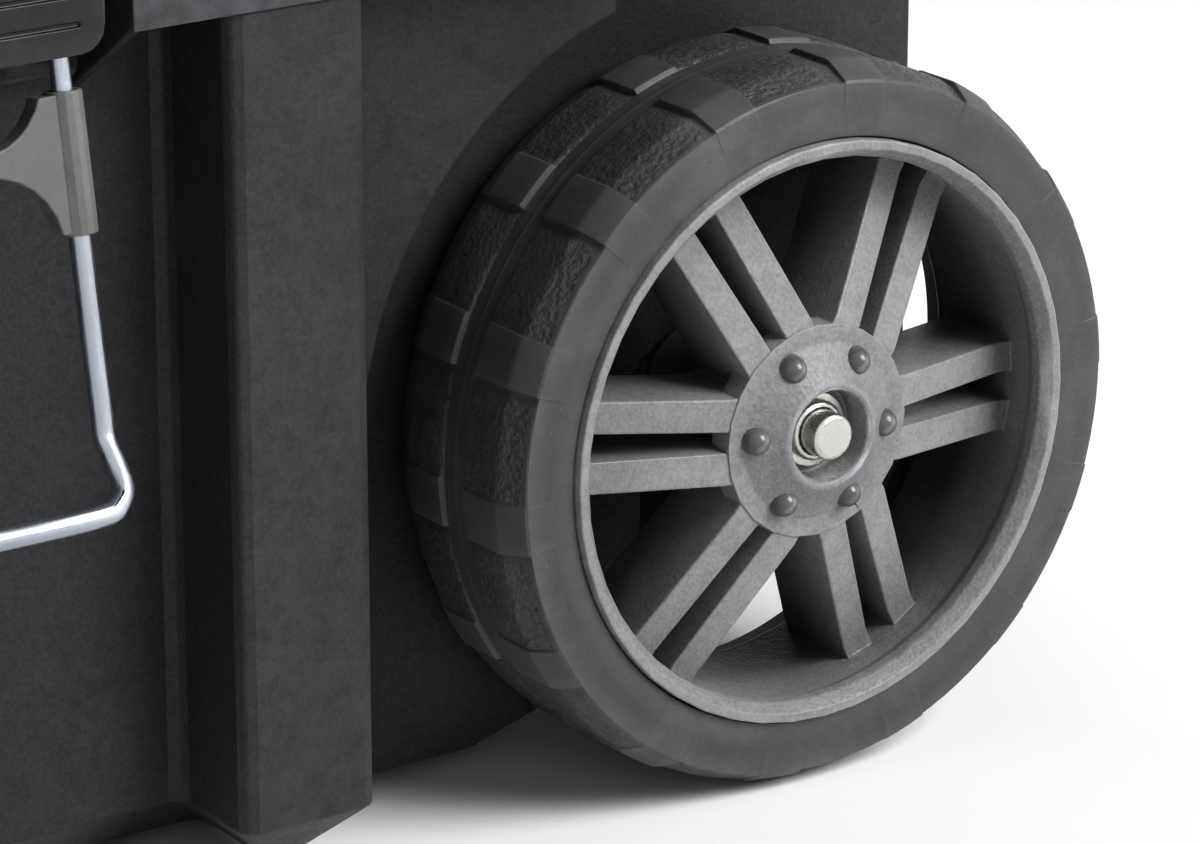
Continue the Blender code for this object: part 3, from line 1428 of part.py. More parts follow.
def make_brackets():
    back = BODY_RIGHT - END_BAY_DEPTH + GAP
    centre_front = back + BRACKET_CENTRE_DEPTH
    front = TUBE_X + GUIDE_DEPTH / 2 + BRACKET_WALL
    half = BRACKET_WIDTH / 2
    step = BRACKET_STEP_WIDTH / 2
    outline = [
        (back, -half),
        (front, -half),
        (front, -step),
        (centre_front, -step),
        (centre_front, step),
        (front, step),
        (front, half),
        (back, half),
    ]
    for name, low in (("guide_bracket_lower", BRACKET_LOWER), ("guide_bracket_upper", BRACKET_UPPER)):
        high = low + BRACKET_HEIGHT
        bracket = plate(outline, low, high, name="bracket")
        holes = tube_holes(0, low - PAST, high + PAST)
        for y, z in bracket_screw_places():
            if low < z < high:
                radius = BRACKET_SCREW_RADIUS + GAP
                holes.append(rod((back - PAST, y, z), (centre_front + PAST, y, z), radius, 12))
        cut(bracket, *holes)
        finish(bracket, name, "body_plastic")
    tip = back - GAP - WALL
    for number, (y, z) in enumerate(bracket_screw_places(), 1):
        head_low = centre_front + GAP
        screw = rod((tip, y, z), (head_low + SCREW_HEAD_HEIGHT / 2, y, z), BRACKET_SCREW_RADIUS, 10)
        head = rod((head_low, y, z), (head_low + SCREW_HEAD_HEIGHT, y, z), SCREW_HEAD_RADIUS * 1.2, 14)
        join(screw, head)
        finish(screw, f"bracket_screw_{number}", "nickel_steel", smooth=True)


def make_pull_handle():
    for label, y in tube_places():
        depth, width = stage_size(0)
        hollow_tube(y, depth, width, GUIDE_BOTTOM, GUIDE_TOP, f"guide_tube_{label}", "tube_aluminium")
        depth, width = stage_size(1)
        low = GUIDE_BOTTOM + TUBE_STEP
        hollow_tube(y, depth, width, low, MIDDLE_TOP, f"middle_tube_{label}", "tube_aluminium")
        depth, width = stage_size(2)
        low = GUIDE_BOTTOM + 2 * TUBE_STEP
        hollow_tube(y, depth, width, low, UPPER_TOP, f"upper_tube_{label}", "tube_aluminium")
    back = BODY_RIGHT + GAP * 2
    bridge_low = MIDDLE_TOP - BRIDGE_HEIGHT
    depth = stage_size(1)[0] / 2 + GAP + BRIDGE_MARGIN * 2
    bridge = block(
        (back, -BRIDGE_WIDTH / 2, bridge_low), (TUBE_X + depth, BRIDGE_WIDTH / 2, MIDDLE_TOP - GAP)
    )
    bevel_edges(bridge, lambda e: is_along(e, 2) and e.verts[0].co.x > TUBE_X, CORNER_RADIUS, 2)
    cut(bridge, *tube_holes(1, bridge_low - PAST, MIDDLE_TOP + PAST))
    finish(bridge, "handle_bridge", "body_plastic")
    pull = block(
        (back, -PULL_WIDTH / 2, PULL_BOTTOM), (back + PULL_DEPTH, PULL_WIDTH / 2, PULL_TOP), "pull"
    )
    bevel_edges(
        pull,
        lambda e: is_along(e, 1) and e.verts[0].co.x > TUBE_X,
        PULL_BEVEL,
        3,
    )
    button_x = back + PULL_DEPTH / 2
    half_depth = BUTTON_DEPTH / 2
    half_length = BUTTON_LENGTH / 2
    button_low = PULL_TOP + BUTTON_RISE - BUTTON_HEIGHT
    well = block(
        (button_x - half_depth - GAP, -half_length - GAP, button_low - BUTTON_TRAVEL - GAP),
        (button_x + half_depth + GAP, half_length + GAP, PULL_TOP + PAST),
        "button_well",
    )
    cut(pull, *tube_holes(2, PULL_BOTTOM - PAST, UPPER_TOP + GAP), well)
    finish(pull, "pull_grip", "grip_rubber")
    button = block(
        (button_x - half_depth, -half_length, button_low),
        (button_x + half_depth, half_length, PULL_TOP + BUTTON_RISE),
        "button",
    )
    bevel_edges(button, lambda e: is_level_at(e, PULL_TOP + BUTTON_RISE), BUTTON_RISE / 3, 1)
    finish(button, "release_button", "button_plastic")


make_tub()
make_feet()
make_axle()
make_saddles()
make_wheel("front", -1)
make_wheel("rear", 1)
make_lid()
make_keeper()
make_latch()
make_carry_handle()
make_brackets()
make_pull_handle()
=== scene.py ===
import math

import bmesh
import bpy
from mathutils import Matrix, Vector


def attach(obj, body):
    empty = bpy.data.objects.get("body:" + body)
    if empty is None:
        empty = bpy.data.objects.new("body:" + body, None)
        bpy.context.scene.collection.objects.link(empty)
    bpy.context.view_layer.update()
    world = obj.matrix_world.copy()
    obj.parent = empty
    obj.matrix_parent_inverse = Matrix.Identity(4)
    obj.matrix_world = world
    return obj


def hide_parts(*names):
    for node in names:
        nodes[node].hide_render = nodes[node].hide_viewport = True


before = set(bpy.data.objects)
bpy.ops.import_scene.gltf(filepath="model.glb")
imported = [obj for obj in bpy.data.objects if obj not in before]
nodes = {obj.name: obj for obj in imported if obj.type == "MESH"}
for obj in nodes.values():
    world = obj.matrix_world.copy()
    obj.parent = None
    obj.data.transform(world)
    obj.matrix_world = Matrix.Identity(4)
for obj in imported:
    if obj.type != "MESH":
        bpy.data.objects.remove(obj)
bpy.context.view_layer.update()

scene = bpy.context.scene


# The photograph's view
# A long lens close to the front left, level across, looking a little down on the wheel.
camera_place = Vector((-0.638, -1.283, 0.570))
camera_aim = Vector((0.5463, 0.7742, -0.3198))
lens_mm = 165.0
sensor_mm = 36.0

camera_data = bpy.data.cameras.new("photograph_camera")
camera_data.sensor_fit = "HORIZONTAL"
camera_data.sensor_width = sensor_mm
camera_data.lens = lens_mm
camera_data.clip_start = 0.01
camera = bpy.data.objects.new("photograph_camera", camera_data)
camera.location = camera_place
camera.rotation_euler = camera_aim.to_track_quat("-Z", "Y").to_euler()
scene.collection.objects.link(camera)
scene.camera = camera


# The studio
# A white surround, a large soft lamp high on the right, and two weaker ones that open the shadows at the
# front left and at the back. The pale floor takes the shadow, and glows white where it is far away.
def soft_lamp(name, place, target, size, power):
    """A square soft lamp that faces a point."""
    lamp_data = bpy.data.lights.new(name, "AREA")
    lamp_data.shape = "SQUARE"
    lamp_data.size = size
    lamp_data.energy = power
    lamp = bpy.data.objects.new(name, lamp_data)
    lamp.location = place
    lamp.rotation_euler = (Vector(target) - Vector(place)).to_track_quat("-Z", "Y").to_euler()
    scene.collection.objects.link(lamp)


soft_lamp("lamp_key", (1.25, -1.85, 1.70), (0.10, -0.10, 0.15), size=1.4, power=96.0)
soft_lamp("lamp_front", (-0.75, -2.10, 0.95), (0.05, 0.0, 0.15), size=1.2, power=2.0)
soft_lamp("lamp_back", (-0.60, 2.00, 1.50), (0.0, 0.0, 0.15), size=1.6, power=42.0)

white = (1.0, 1.0, 1.0, 1.0)
ambient_strength = 0.13
surround = bpy.data.worlds.new("white_surround")
surround.use_nodes = True
surround_nodes = surround.node_tree.nodes
surround_links = surround.node_tree.links
surround_nodes.clear()
seen_rays = surround_nodes.new("ShaderNodeLightPath")
mirror_rays = surround_nodes.new("ShaderNodeMath")
mirror_rays.operation = "MAXIMUM"
white_rays = surround_nodes.new("ShaderNodeMath")
white_rays.operation = "MAXIMUM"
ambient = surround_nodes.new("ShaderNodeBackground")
ambient.inputs["Color"].default_value = (0.93, 0.96, 1.0, 1.0)
ambient.inputs["Strength"].default_value = ambient_strength
backdrop = surround_nodes.new("ShaderNodeBackground")
backdrop.inputs["Color"].default_value = white
backdrop.inputs["Strength"].default_value = 1.0
surround_mix = surround_nodes.new("ShaderNodeMixShader")
surround_out = surround_nodes.new("ShaderNodeOutputWorld")
surround_links.new(seen_rays.outputs["Is Glossy Ray"], mirror_rays.inputs[0])
surround_links.new(seen_rays.outputs["Is Transmission Ray"], mirror_rays.inputs[1])
surround_links.new(seen_rays.outputs["Is Camera Ray"], white_rays.inputs[0])
surround_links.new(mirror_rays.outputs[0], white_rays.inputs[1])
surround_links.new(white_rays.outputs[0], surround_mix.inputs["Fac"])
surround_links.new(ambient.outputs[0], surround_mix.inputs[1])
surround_links.new(backdrop.outputs[0], surround_mix.inputs[2])
surround_links.new(surround_mix.outputs[0], surround_out.inputs["Surface"])
scene.world = surround

floor_size = 9.0
glow_starts = 0.75
glow_is_full = 1.6
bpy.ops.object.select_all(action="DESELECT")
bpy.ops.mesh.primitive_plane_add(size=floor_size, location=(0.0, 0.0, 0.0))
floor = bpy.context.object
floor.name = "studio_floor"
floor_paint = bpy.data.materials.new("floor_paint")
floor_paint.use_nodes = True
floor_tree = floor_paint.node_tree
floor_links = floor_tree.links
floor_shader = floor_tree.nodes["Principled BSDF"]
floor_shader.inputs["Base Color"].default_value = (0.93, 0.93, 0.93, 1.0)
floor_shader.inputs["Roughness"].default_value = 0.85
floor_shader.inputs["Specular IOR Level"].default_value = 0.2
floor_glow = floor_tree.nodes.new("ShaderNodeEmission")
floor_glow.inputs["Color"].default_value = white
floor_mix = floor_tree.nodes.new("ShaderNodeMixShader")
floor_rays = floor_tree.nodes.new("ShaderNodeLightPath")
floor_place = floor_tree.nodes.new("ShaderNodeTexCoord")
floor_reach = floor_tree.nodes.new("ShaderNodeVectorMath")
floor_reach.operation = "LENGTH"
floor_far = floor_tree.nodes.new("ShaderNodeMapRange")
floor_far.inputs["From Min"].default_value = glow_starts
floor_far.inputs["From Max"].default_value = glow_is_full
floor_seen = floor_tree.nodes.new("ShaderNodeMath")
floor_seen.operation = "MULTIPLY"
floor_links.new(floor_place.outputs["Object"], floor_reach.inputs[0])
floor_links.new(floor_reach.outputs["Value"], floor_far.inputs["Value"])
floor_links.new(floor_far.outputs["Result"], floor_seen.inputs[0])
floor_links.new(floor_rays.outputs["Is Camera Ray"], floor_seen.inputs[1])
floor_links.new(floor_seen.outputs[0], floor_mix.inputs["Fac"])
floor_links.new(floor_shader.outputs["BSDF"], floor_mix.inputs[1])
floor_links.new(floor_glow.outputs[0], floor_mix.inputs[2])
floor_links.new(floor_mix.outputs[0], floor_tree.nodes["Material Output"].inputs["Surface"])
floor.data.materials.append(floor_paint)
scene.view_settings.view_transform = "Standard"


# Tub
# One black polypropylene moulding with a fine spark-eroded grain, thick at the collar, with posts
# between recessed panels. Its edges are rounded by about a millimetre, and catch the light.
def select_only(obj):
    """Leaves object mode's selection on one object alone."""
    bpy.ops.object.select_all(action="DESELECT")
    bpy.context.view_layer.objects.active = obj
    obj.select_set(True)


def add_modifier(obj, kind, **settings):
    """Applies one modifier to an object."""
    select_only(obj)
    modifier = obj.modifiers.new(kind.lower(), kind)
    for setting, value in settings.items():
        setattr(modifier, setting, value)
    bpy.ops.object.modifier_apply(modifier=modifier.name)


def weigh_edges(piece, width):
    """Marks the sharp edges to round, less where the edges that meet them are short for the width."""
    sharp_angle = math.radians(28.0)
    room_share = 0.45
    straight_on = -0.75
    shape = bmesh.new()
    shape.from_mesh(piece.data)
    weight = shape.edges.layers.float.new("bevel_weight_edge")
    sharp = {
        edge for edge in shape.edges
        if len(edge.link_faces) == 2 and edge.calc_face_angle(0.0) > sharp_angle
    }
    for edge in sharp:
        room = width / room_share
        for vert in edge.verts:
            along = (edge.other_vert(vert).co - vert.co).normalized()
            for other in vert.link_edges:
                away = (other.other_vert(vert).co - vert.co).normalized()
                goes_on = other in sharp and along.dot(away) < straight_on
                if other is not edge and not goes_on:
                    room = min(room, other.calc_length())
        edge[weight] = room_share * room / width
    shape.to_mesh(piece.data)
    shape.free()


def set_normals(piece, width):
    """Lets each broad face keep its own normal, so that rounded edges and curves alone shade round."""
    strip_limit = 1.5 * width
    large_area = 0.0004
    strip_turn = math.cos(math.radians(52.0))
    curve_step = math.cos(math.radians(21.0))
    shape = bmesh.new()
    shape.from_mesh(piece.data)
    broad = []
    for face in shape.faces:
        longest = max(edge.calc_length() for edge in face.edges)
        broad.append(2 * face.calc_area() > strip_limit * longest)
    normals = []
    for face in shape.faces:
        is_broad = broad[face.index]
        is_large = face.calc_area() >= large_area
        least_turn = curve_step if is_broad else strip_turn
        for loop in face.loops:
            near = [
                other for other in loop.vert.link_faces
                if other is not face and other.normal.dot(face.normal) > least_turn
            ]
            broad_near = [other for other in near if broad[other.index]]
            normal = face.normal.copy()
            if is_broad and not is_large:
                for other in broad_near:
                    normal += other.normal
            elif broad_near and not is_broad:
                normal = max(broad_near, key=lambda other: other.normal.dot(face.normal)).normal.copy()
            elif not is_broad:
                for other in near:
                    normal += other.normal
            normals.append(normal.normalized())
    shape.free()
    piece.data.normals_split_custom_set(normals)


def rounded_copy(node, name, width, segments=2, flat=0.6):
    """A copy of a frame piece with its triangles merged and its sharp edges rounded."""
    merge_distance = 0.00001
    smooth_angle = math.radians(35.0)
    piece = bpy.data.objects.new(name, nodes[node].data.copy())
    piece.data.materials.clear()
    scene.collection.objects.link(piece)
    select_only(piece)
    bpy.ops.object.mode_set(mode="EDIT")
    bpy.ops.mesh.select_all(action="SELECT")
    bpy.ops.mesh.remove_doubles(threshold=merge_distance)
    bpy.ops.mesh.dissolve_limited(angle_limit=math.radians(flat))
    if width:
        bpy.ops.mesh.quads_convert_to_tris(quad_method="BEAUTY", ngon_method="BEAUTY")
    bpy.ops.object.mode_set(mode="OBJECT")
    if width:
        weigh_edges(piece, width)
        add_modifier(
            piece, "BEVEL", width=width, segments=segments, limit_method="WEIGHT",
            use_clamp_overlap=False,
        )
    bpy.ops.object.shade_smooth_by_angle(angle=smooth_angle)
    if width:
        set_normals(piece, width)
    return piece


def new_group(name, inputs, outputs):
    """An empty shader node group with named values and vectors going in and out."""
    group = bpy.data.node_groups.new(name, "ShaderNodeTree")
    kinds = {"value": "NodeSocketFloat", "vector": "NodeSocketVector"}
    for label, kind, start in inputs:
        socket = group.interface.new_socket(name=label, in_out="INPUT", socket_type=kinds[kind])
        if start is not None:
            socket.default_value = start
    for label, kind in outputs:
        group.interface.new_socket(name=label, in_out="OUTPUT", socket_type=kinds[kind])
    entry = group.nodes.new("NodeGroupInput")
    leave = group.nodes.new("NodeGroupOutput")
    return group, entry, leave


def feed(tree, socket, source):
    """Gives a socket a number or another node's output."""
    if isinstance(source, (int, float)):
        socket.default_value = source
    else:
        tree.links.new(source, socket)


def value_node(tree, operation, *sources):
    """A maths node whose sockets are numbers or other nodes' outputs."""
    node = tree.nodes.new("ShaderNodeMath")
    node.operation = operation
    for index, source in enumerate(sources):
        feed(tree, node.inputs[index], source)
    return node.outputs[0]


def noise_node(tree, place, scale, detail=2.0, roughness=0.5):
    """A noise texture read at a place; scale is a number or another node's output."""
    node = tree.nodes.new("ShaderNodeTexNoise")
    tree.links.new(place, node.inputs["Vector"])
    feed(tree, node.inputs["Scale"], scale)
    node.inputs["Detail"].default_value = detail
    node.inputs["Roughness"].default_value = roughness
    return node.outputs["Fac"]


def range_node(tree, source, low, high, to_low=0.0, to_high=1.0):
    """A clamped map of a value from one range to another."""
    node = tree.nodes.new("ShaderNodeMapRange")
    tree.links.new(source, node.inputs["Value"])
    node.inputs["From Min"].default_value = low
    node.inputs["From Max"].default_value = high
    node.inputs["To Min"].default_value = to_low
    node.inputs["To Max"].default_value = to_high
    return node.outputs["Result"]


def make_grain_group():
    """Moulded grain: a fine height, and slow patches where the tool's surface has polished."""
    coarse_share = 0.31
    coarse_height = 0.45
    patches_per_metre = 9.0
    group, entry, leave = new_group(
        "moulded_grain",
        [("Place", "vector", None), ("Grain per metre", "value", 1500.0)],
        [("Height", "value"), ("Patches", "value")],
    )
    place = entry.outputs["Place"]
    fine_scale = entry.outputs["Grain per metre"]
    fine = noise_node(group, place, fine_scale, detail=2.0, roughness=0.55)
    coarse_scale = value_node(group, "MULTIPLY", fine_scale, coarse_share)
    coarse = noise_node(group, place, coarse_scale, detail=1.0)
    height = value_node(group, "MULTIPLY_ADD", coarse, coarse_height, fine)
    patches = noise_node(group, place, patches_per_metre, detail=4.0, roughness=0.6)
    group.links.new(height, leave.inputs["Height"])
    group.links.new(patches, leave.inputs["Patches"])
    return group


def make_edge_wear_highlight_group():
    """Edge wear and painted highlight: a broken mask along outer edges, from how sharply the surface
    turns.
    """
    breaks_per_metre = 140.0
    group, entry, leave = new_group(
        "edge_wear_and_highlight",
        [("Place", "vector", None), ("Sharpness", "value", 0.5)],
        [("Mask", "value")],
    )
    edge = range_node(group, entry.outputs["Sharpness"], 0.505, 0.60)
    breaks = noise_node(group, entry.outputs["Place"], breaks_per_metre, detail=3.0)
    broken = range_node(group, breaks, 0.3, 0.7, to_low=0.25)
    mask = value_node(group, "MULTIPLY", edge, broken)
    group.links.new(mask, leave.inputs["Mask"])
    return group


def make_marks_group():
    """Handling marks: a faint mask of smears and specks of pale dust."""
    smears_per_metre = 26.0
    specks_per_metre = 620.0
    group, entry, leave = new_group(
        "handling_marks", [("Place", "vector", None)], [("Mask", "value")]
    )
    place = entry.outputs["Place"]
    smears = noise_node(group, place, smears_per_metre, detail=5.0, roughness=0.65)
    smears = range_node(group, smears, 0.52, 0.80)
    specks = noise_node(group, place, specks_per_metre, detail=1.0)
    specks = range_node(group, specks, 0.72, 0.80)
    mask = value_node(group, "MULTIPLY_ADD", specks, 0.5, value_node(group, "MULTIPLY", smears, 0.6))
    group.links.new(mask, leave.inputs["Mask"])
    return group


grain_group = make_grain_group()
edge_wear_highlight_group = make_edge_wear_highlight_group()
marks_group = make_marks_group()


def place_group(tree, group, links):
    """Puts a group in a material and feeds its inputs."""
    node = tree.nodes.new("ShaderNodeGroup")
    node.node_tree = group
    for label, source in links.items():
        feed(tree, node.inputs[label], source)
    return node


def blend_colours(tree, factor, first, second):
    """A colour mix; each colour is three numbers or another node's output."""
    first_socket, second_socket, mixed = 6, 7, 2
    node = tree.nodes.new("ShaderNodeMix")
    node.data_type = "RGBA"
    tree.links.new(factor, node.inputs[0])
    for index, colour in ((first_socket, first), (second_socket, second)):
        if isinstance(colour, tuple):
            node.inputs[index].default_value = (*colour, 1.0)
        else:
            tree.links.new(colour, node.inputs[index])
    return node.outputs[mixed]


def shade(colour, share):
    """A colour made darker or lighter, never past white."""
    return tuple(min(1.0, part * share) for part in colour)


def add_bump(tree, height, strength, depth):
    """Lets a height move the surface's normal."""
    bump = tree.nodes.new("ShaderNodeBump")
    bump.inputs["Strength"].default_value = strength
    bump.inputs["Distance"].default_value = depth
    tree.links.new(height, bump.inputs["Height"])
    tree.links.new(bump.outputs["Normal"], tree.nodes["Principled BSDF"].inputs["Normal"])


def moulded_finish(
    name, colour, worn_and_highlit, roughness, grain=1500.0, depth=0.00006, bump=0.6, marks=0.10, level=0.5,
    pit_shade=0.25
):
    """Plastic or rubber with a moulded grain, painted shade in its pits, edges lightened as wear and
    painted highlight, a little dusty.
    """
    dust_colour = (0.35, 0.34, 0.33)
    dust_roughness = 0.15
    gloss_swing = 0.07
    material = bpy.data.materials.new(name)
    material.use_nodes = True
    tree = material.node_tree
    shader = tree.nodes["Principled BSDF"]
    shader.inputs["Specular IOR Level"].default_value = level
    place = tree.nodes.new("ShaderNodeTexCoord").outputs["Object"]
    sharpness = tree.nodes.new("ShaderNodeNewGeometry").outputs["Pointiness"]
    grain_node = place_group(tree, grain_group, {"Place": place, "Grain per metre": grain})
    wear_and_highlight = place_group(tree, edge_wear_highlight_group, {"Place": place, "Sharpness": sharpness}).outputs["Mask"]
    dust = place_group(tree, marks_group, {"Place": place}).outputs["Mask"]
    height = grain_node.outputs["Height"]
    patches = range_node(tree, grain_node.outputs["Patches"], 0.35, 0.65)
    base = blend_colours(tree, patches, shade(colour, 0.86), shade(colour, 1.12))
    # Painted shade: the grain's low pits are darkened towards a third of the colour.
    pit_shade_mask = range_node(tree, height, 0.55, 0.90, to_low=pit_shade, to_high=0.0)
    base = blend_colours(tree, pit_shade_mask, base, shade(colour, 0.3))
    base = blend_colours(tree, value_node(tree, "MULTIPLY", dust, marks), base, dust_colour)
    # Wear and painted highlight: sharp outer edges are lightened towards the edge colour.
    base = blend_colours(tree, wear_and_highlight, base, worn_and_highlit)
    tree.links.new(base, shader.inputs["Base Color"])
    gloss = range_node(tree, height, 0.45, 1.05, roughness + gloss_swing, roughness - gloss_swing)
    gloss = value_node(tree, "MULTIPLY_ADD", dust, dust_roughness, gloss)
    tree.links.new(gloss, shader.inputs["Roughness"])
    add_bump(tree, height, bump, depth)
    return material


def dress(piece, body, slot, material, *replaced):
    """Gives a piece its material, ties it to its body and hides the nodes it stands for; the slot is not
    used.
    """
    piece.data.materials.clear()
    piece.data.materials.append(material)
    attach(piece, body)
    if replaced:
        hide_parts(*replaced)


body_plastic = moulded_finish(
    "body_plastic", colour=(0.0185, 0.0185, 0.0205), worn_and_highlit=(0.065, 0.065, 0.072), roughness=0.52,
    grain=900.0, depth=0.00016, bump=1.0, marks=0.05, level=0.22, pit_shade=0.7,
)
tub = rounded_copy("tub", "tub_moulding", width=0.0009)
dress(tub, "base", "body_plastic", body_plastic, "tub")


# Lid
# The cover is a second moulding of the same plastic, hinged at the back, with a pocket for the carry
# handle and a notch in its front edge for the latch.
lid_plastic = moulded_finish(
    "lid_plastic", colour=(0.0195, 0.0195, 0.0215), worn_and_highlit=(0.070, 0.070, 0.077), roughness=0.52,
    grain=900.0, depth=0.00016, bump=1.0, marks=0.05, level=0.22, pit_shade=0.7,
)
lid = rounded_copy("lid", "lid_moulding", width=0.0010)
dress(lid, "lid", "lid_plastic", lid_plastic, "lid")


# Latch housing
# A black satin moulding that swings on a pin in the lid's notch. Its face is held flat between broad
# rounded edges, and rows of short grooves give the thumb a grip.
latch_plastic = moulded_finish(
    "latch_plastic", colour=(0.009, 0.009, 0.0105), worn_and_highlit=(0.085, 0.085, 0.088), roughness=0.30,
    depth=0.00004, bump=0.45, marks=0.12, level=0.22,
)
latch_housing = rounded_copy("latch_housing", "latch_cover", width=0.0009, segments=3)
dress(latch_housing, "latch", "latch_plastic", latch_plastic, "latch_housing")


# Latch wire and spreader
# One length of zinc-plated wire bent into a loop, kicked forward at its end for a finger. A grey web
# moulding keeps its legs apart, clipped round each leg by a sleeve.
def metal_finish(name, colour, roughness, drawn=(1.0, 1.0, 1.0), streaks=900.0):
    """Plated or drawn metal: fine lines along the way it was drawn, dull patches, and edges brightened
    as wear and painted highlight.
    """
    dust_share = 0.25
    dust_roughness = 0.25
    line_bump = 0.25
    line_depth = 0.00003
    material = bpy.data.materials.new(name)
    material.use_nodes = True
    tree = material.node_tree
    shader = tree.nodes["Principled BSDF"]
    shader.inputs["Metallic"].default_value = 1.0
    place = tree.nodes.new("ShaderNodeTexCoord").outputs["Object"]
    sharpness = tree.nodes.new("ShaderNodeNewGeometry").outputs["Pointiness"]
    stretch = tree.nodes.new("ShaderNodeMapping")
    stretch.inputs["Scale"].default_value = drawn
    tree.links.new(place, stretch.inputs["Vector"])
    lines = place_group(
        tree, grain_group, {"Place": stretch.outputs["Vector"], "Grain per metre": streaks}
    )
    wear_and_highlight = place_group(tree, edge_wear_highlight_group, {"Place": place, "Sharpness": sharpness}).outputs["Mask"]
    dust = place_group(tree, marks_group, {"Place": place}).outputs["Mask"]
    patches = range_node(tree, lines.outputs["Patches"], 0.3, 0.7)
    base = blend_colours(tree, patches, shade(colour, 0.80), shade(colour, 1.15))
    base = blend_colours(tree, value_node(tree, "MULTIPLY", dust, dust_share), base, shade(colour, 0.5))
    # Wear and painted highlight: sharp edges are brightened by a third.
    base = blend_colours(tree, wear_and_highlight, base, shade(colour, 1.3))
    tree.links.new(base, shader.inputs["Base Color"])
    gloss = range_node(tree, lines.outputs["Height"], 0.45, 1.05, roughness + 0.08, roughness - 0.06)
    gloss = value_node(tree, "MULTIPLY_ADD", dust, dust_roughness, gloss)
    tree.links.new(gloss, shader.inputs["Roughness"])
    add_bump(tree, lines.outputs["Height"], line_bump, line_depth)
    return material


zinc_wire = metal_finish("zinc_wire", (0.42, 0.45, 0.50), roughness=0.30, drawn=(1.0, 1.0, 0.08))
latch_bail = rounded_copy("latch_bail", "latch_wire", width=0.0, flat=0.01)
add_modifier(latch_bail, "SUBSURF", levels=1, render_levels=1)
dress(latch_bail, "latch", "zinc_wire", zinc_wire, "latch_bail")

web_plastic = moulded_finish(
    "web_plastic", colour=(0.085, 0.085, 0.083), worn_and_highlit=(0.17, 0.17, 0.16), roughness=0.38,
    depth=0.00003, bump=0.4, marks=0.15,
)
latch_spreader = rounded_copy("latch_spreader", "wire_spreader", width=0.0006, segments=3)
dress(latch_spreader, "latch", "web_plastic", web_plastic, "latch_spreader")


# Latch pin, keeper and rivets
# The housing turns on a plated pin in the lid, and its nose hooks under a pressed steel keeper that two
# flat-headed rivets hold to the tub.
nickel_steel = metal_finish("nickel_steel", (0.56, 0.55, 0.52), roughness=0.27)
for node, name, body, width in (
    ("latch_pin", "latch_pivot", "lid", 0.0003),
    ("latch_keeper", "latch_catch", "base", 0.0004),
    ("keeper_rivet_left", "catch_rivet_left", "base", 0.0005),
    ("keeper_rivet_right", "catch_rivet_right", "base", 0.0005),
):
    dress(rounded_copy(node, name, width), body, "nickel_steel", nickel_steel, node)


# Hinge pins
# Plain steel pins through the knuckles at the back, where the lid turns on the tub.
pin_rounding = 0.0003
for side in ("left", "right"):
    node = "hinge_pin_" + side
    pin = rounded_copy(node, "hinge_rod_" + side, pin_rounding)
    dress(pin, "base", "nickel_steel", nickel_steel, node)


# Carry handle
# A moulded bar with two arms that folds flat into the lid, on two short steel pins, with a soft sleeve
# pressed on its bar as a grip.
handle_rounding = 0.0010
handle_arms = rounded_copy("carry_handle", "carry_bar", handle_rounding)
dress(handle_arms, "carry_handle", "latch_plastic", latch_plastic, "carry_handle")
soft_rubber = moulded_finish(
    "soft_rubber", colour=(0.034, 0.034, 0.037), worn_and_highlit=(0.07, 0.07, 0.075), roughness=0.72,
    grain=1100.0, depth=0.00012, bump=0.8, marks=0.2, level=0.35,
)
handle_grip = rounded_copy("carry_grip", "carry_sleeve", handle_rounding)
dress(handle_grip, "carry_handle", "grip_rubber", soft_rubber, "carry_grip")
for side in ("left", "right"):
    node = "handle_pin_" + side
    pin = rounded_copy(node, "handle_rod_" + side, pin_rounding)
    dress(pin, "lid", "nickel_steel", nickel_steel, node)


# Tyres
# Solid rubber rings on the rims. Each row of the tread has fourteen leather-grained blocks that climb to
# a smooth proud lug, and a plain groove with the mould's seam runs between the two rows.
tread_pitches = 14
first_lug = math.radians(5.2)
wheel_centre = Vector((0.208, 0.0, 0.100))
tyre_face = 0.187
tyre_width = 0.058
# Degrees round from a lug's middle, and how far the tread lies under the lug's top there
pitch_columns = (
    (-4.25, 0.00062),
    (-3.92, 0.00010),
    (-3.55, 0.0),
    (-1.20, 0.0),
    (1.20, 0.0),
    (3.70, 0.0),
    (3.98, 0.00015),
    (4.22, 0.00150),
    (4.80, 0.00165),
    (5.40, 0.00135),
    (6.20, 0.00112),
    (9.20, 0.00104),
    (12.20, 0.00095),
    (15.20, 0.00086),
    (18.20, 0.00076),
    (20.80, 0.00066),
)
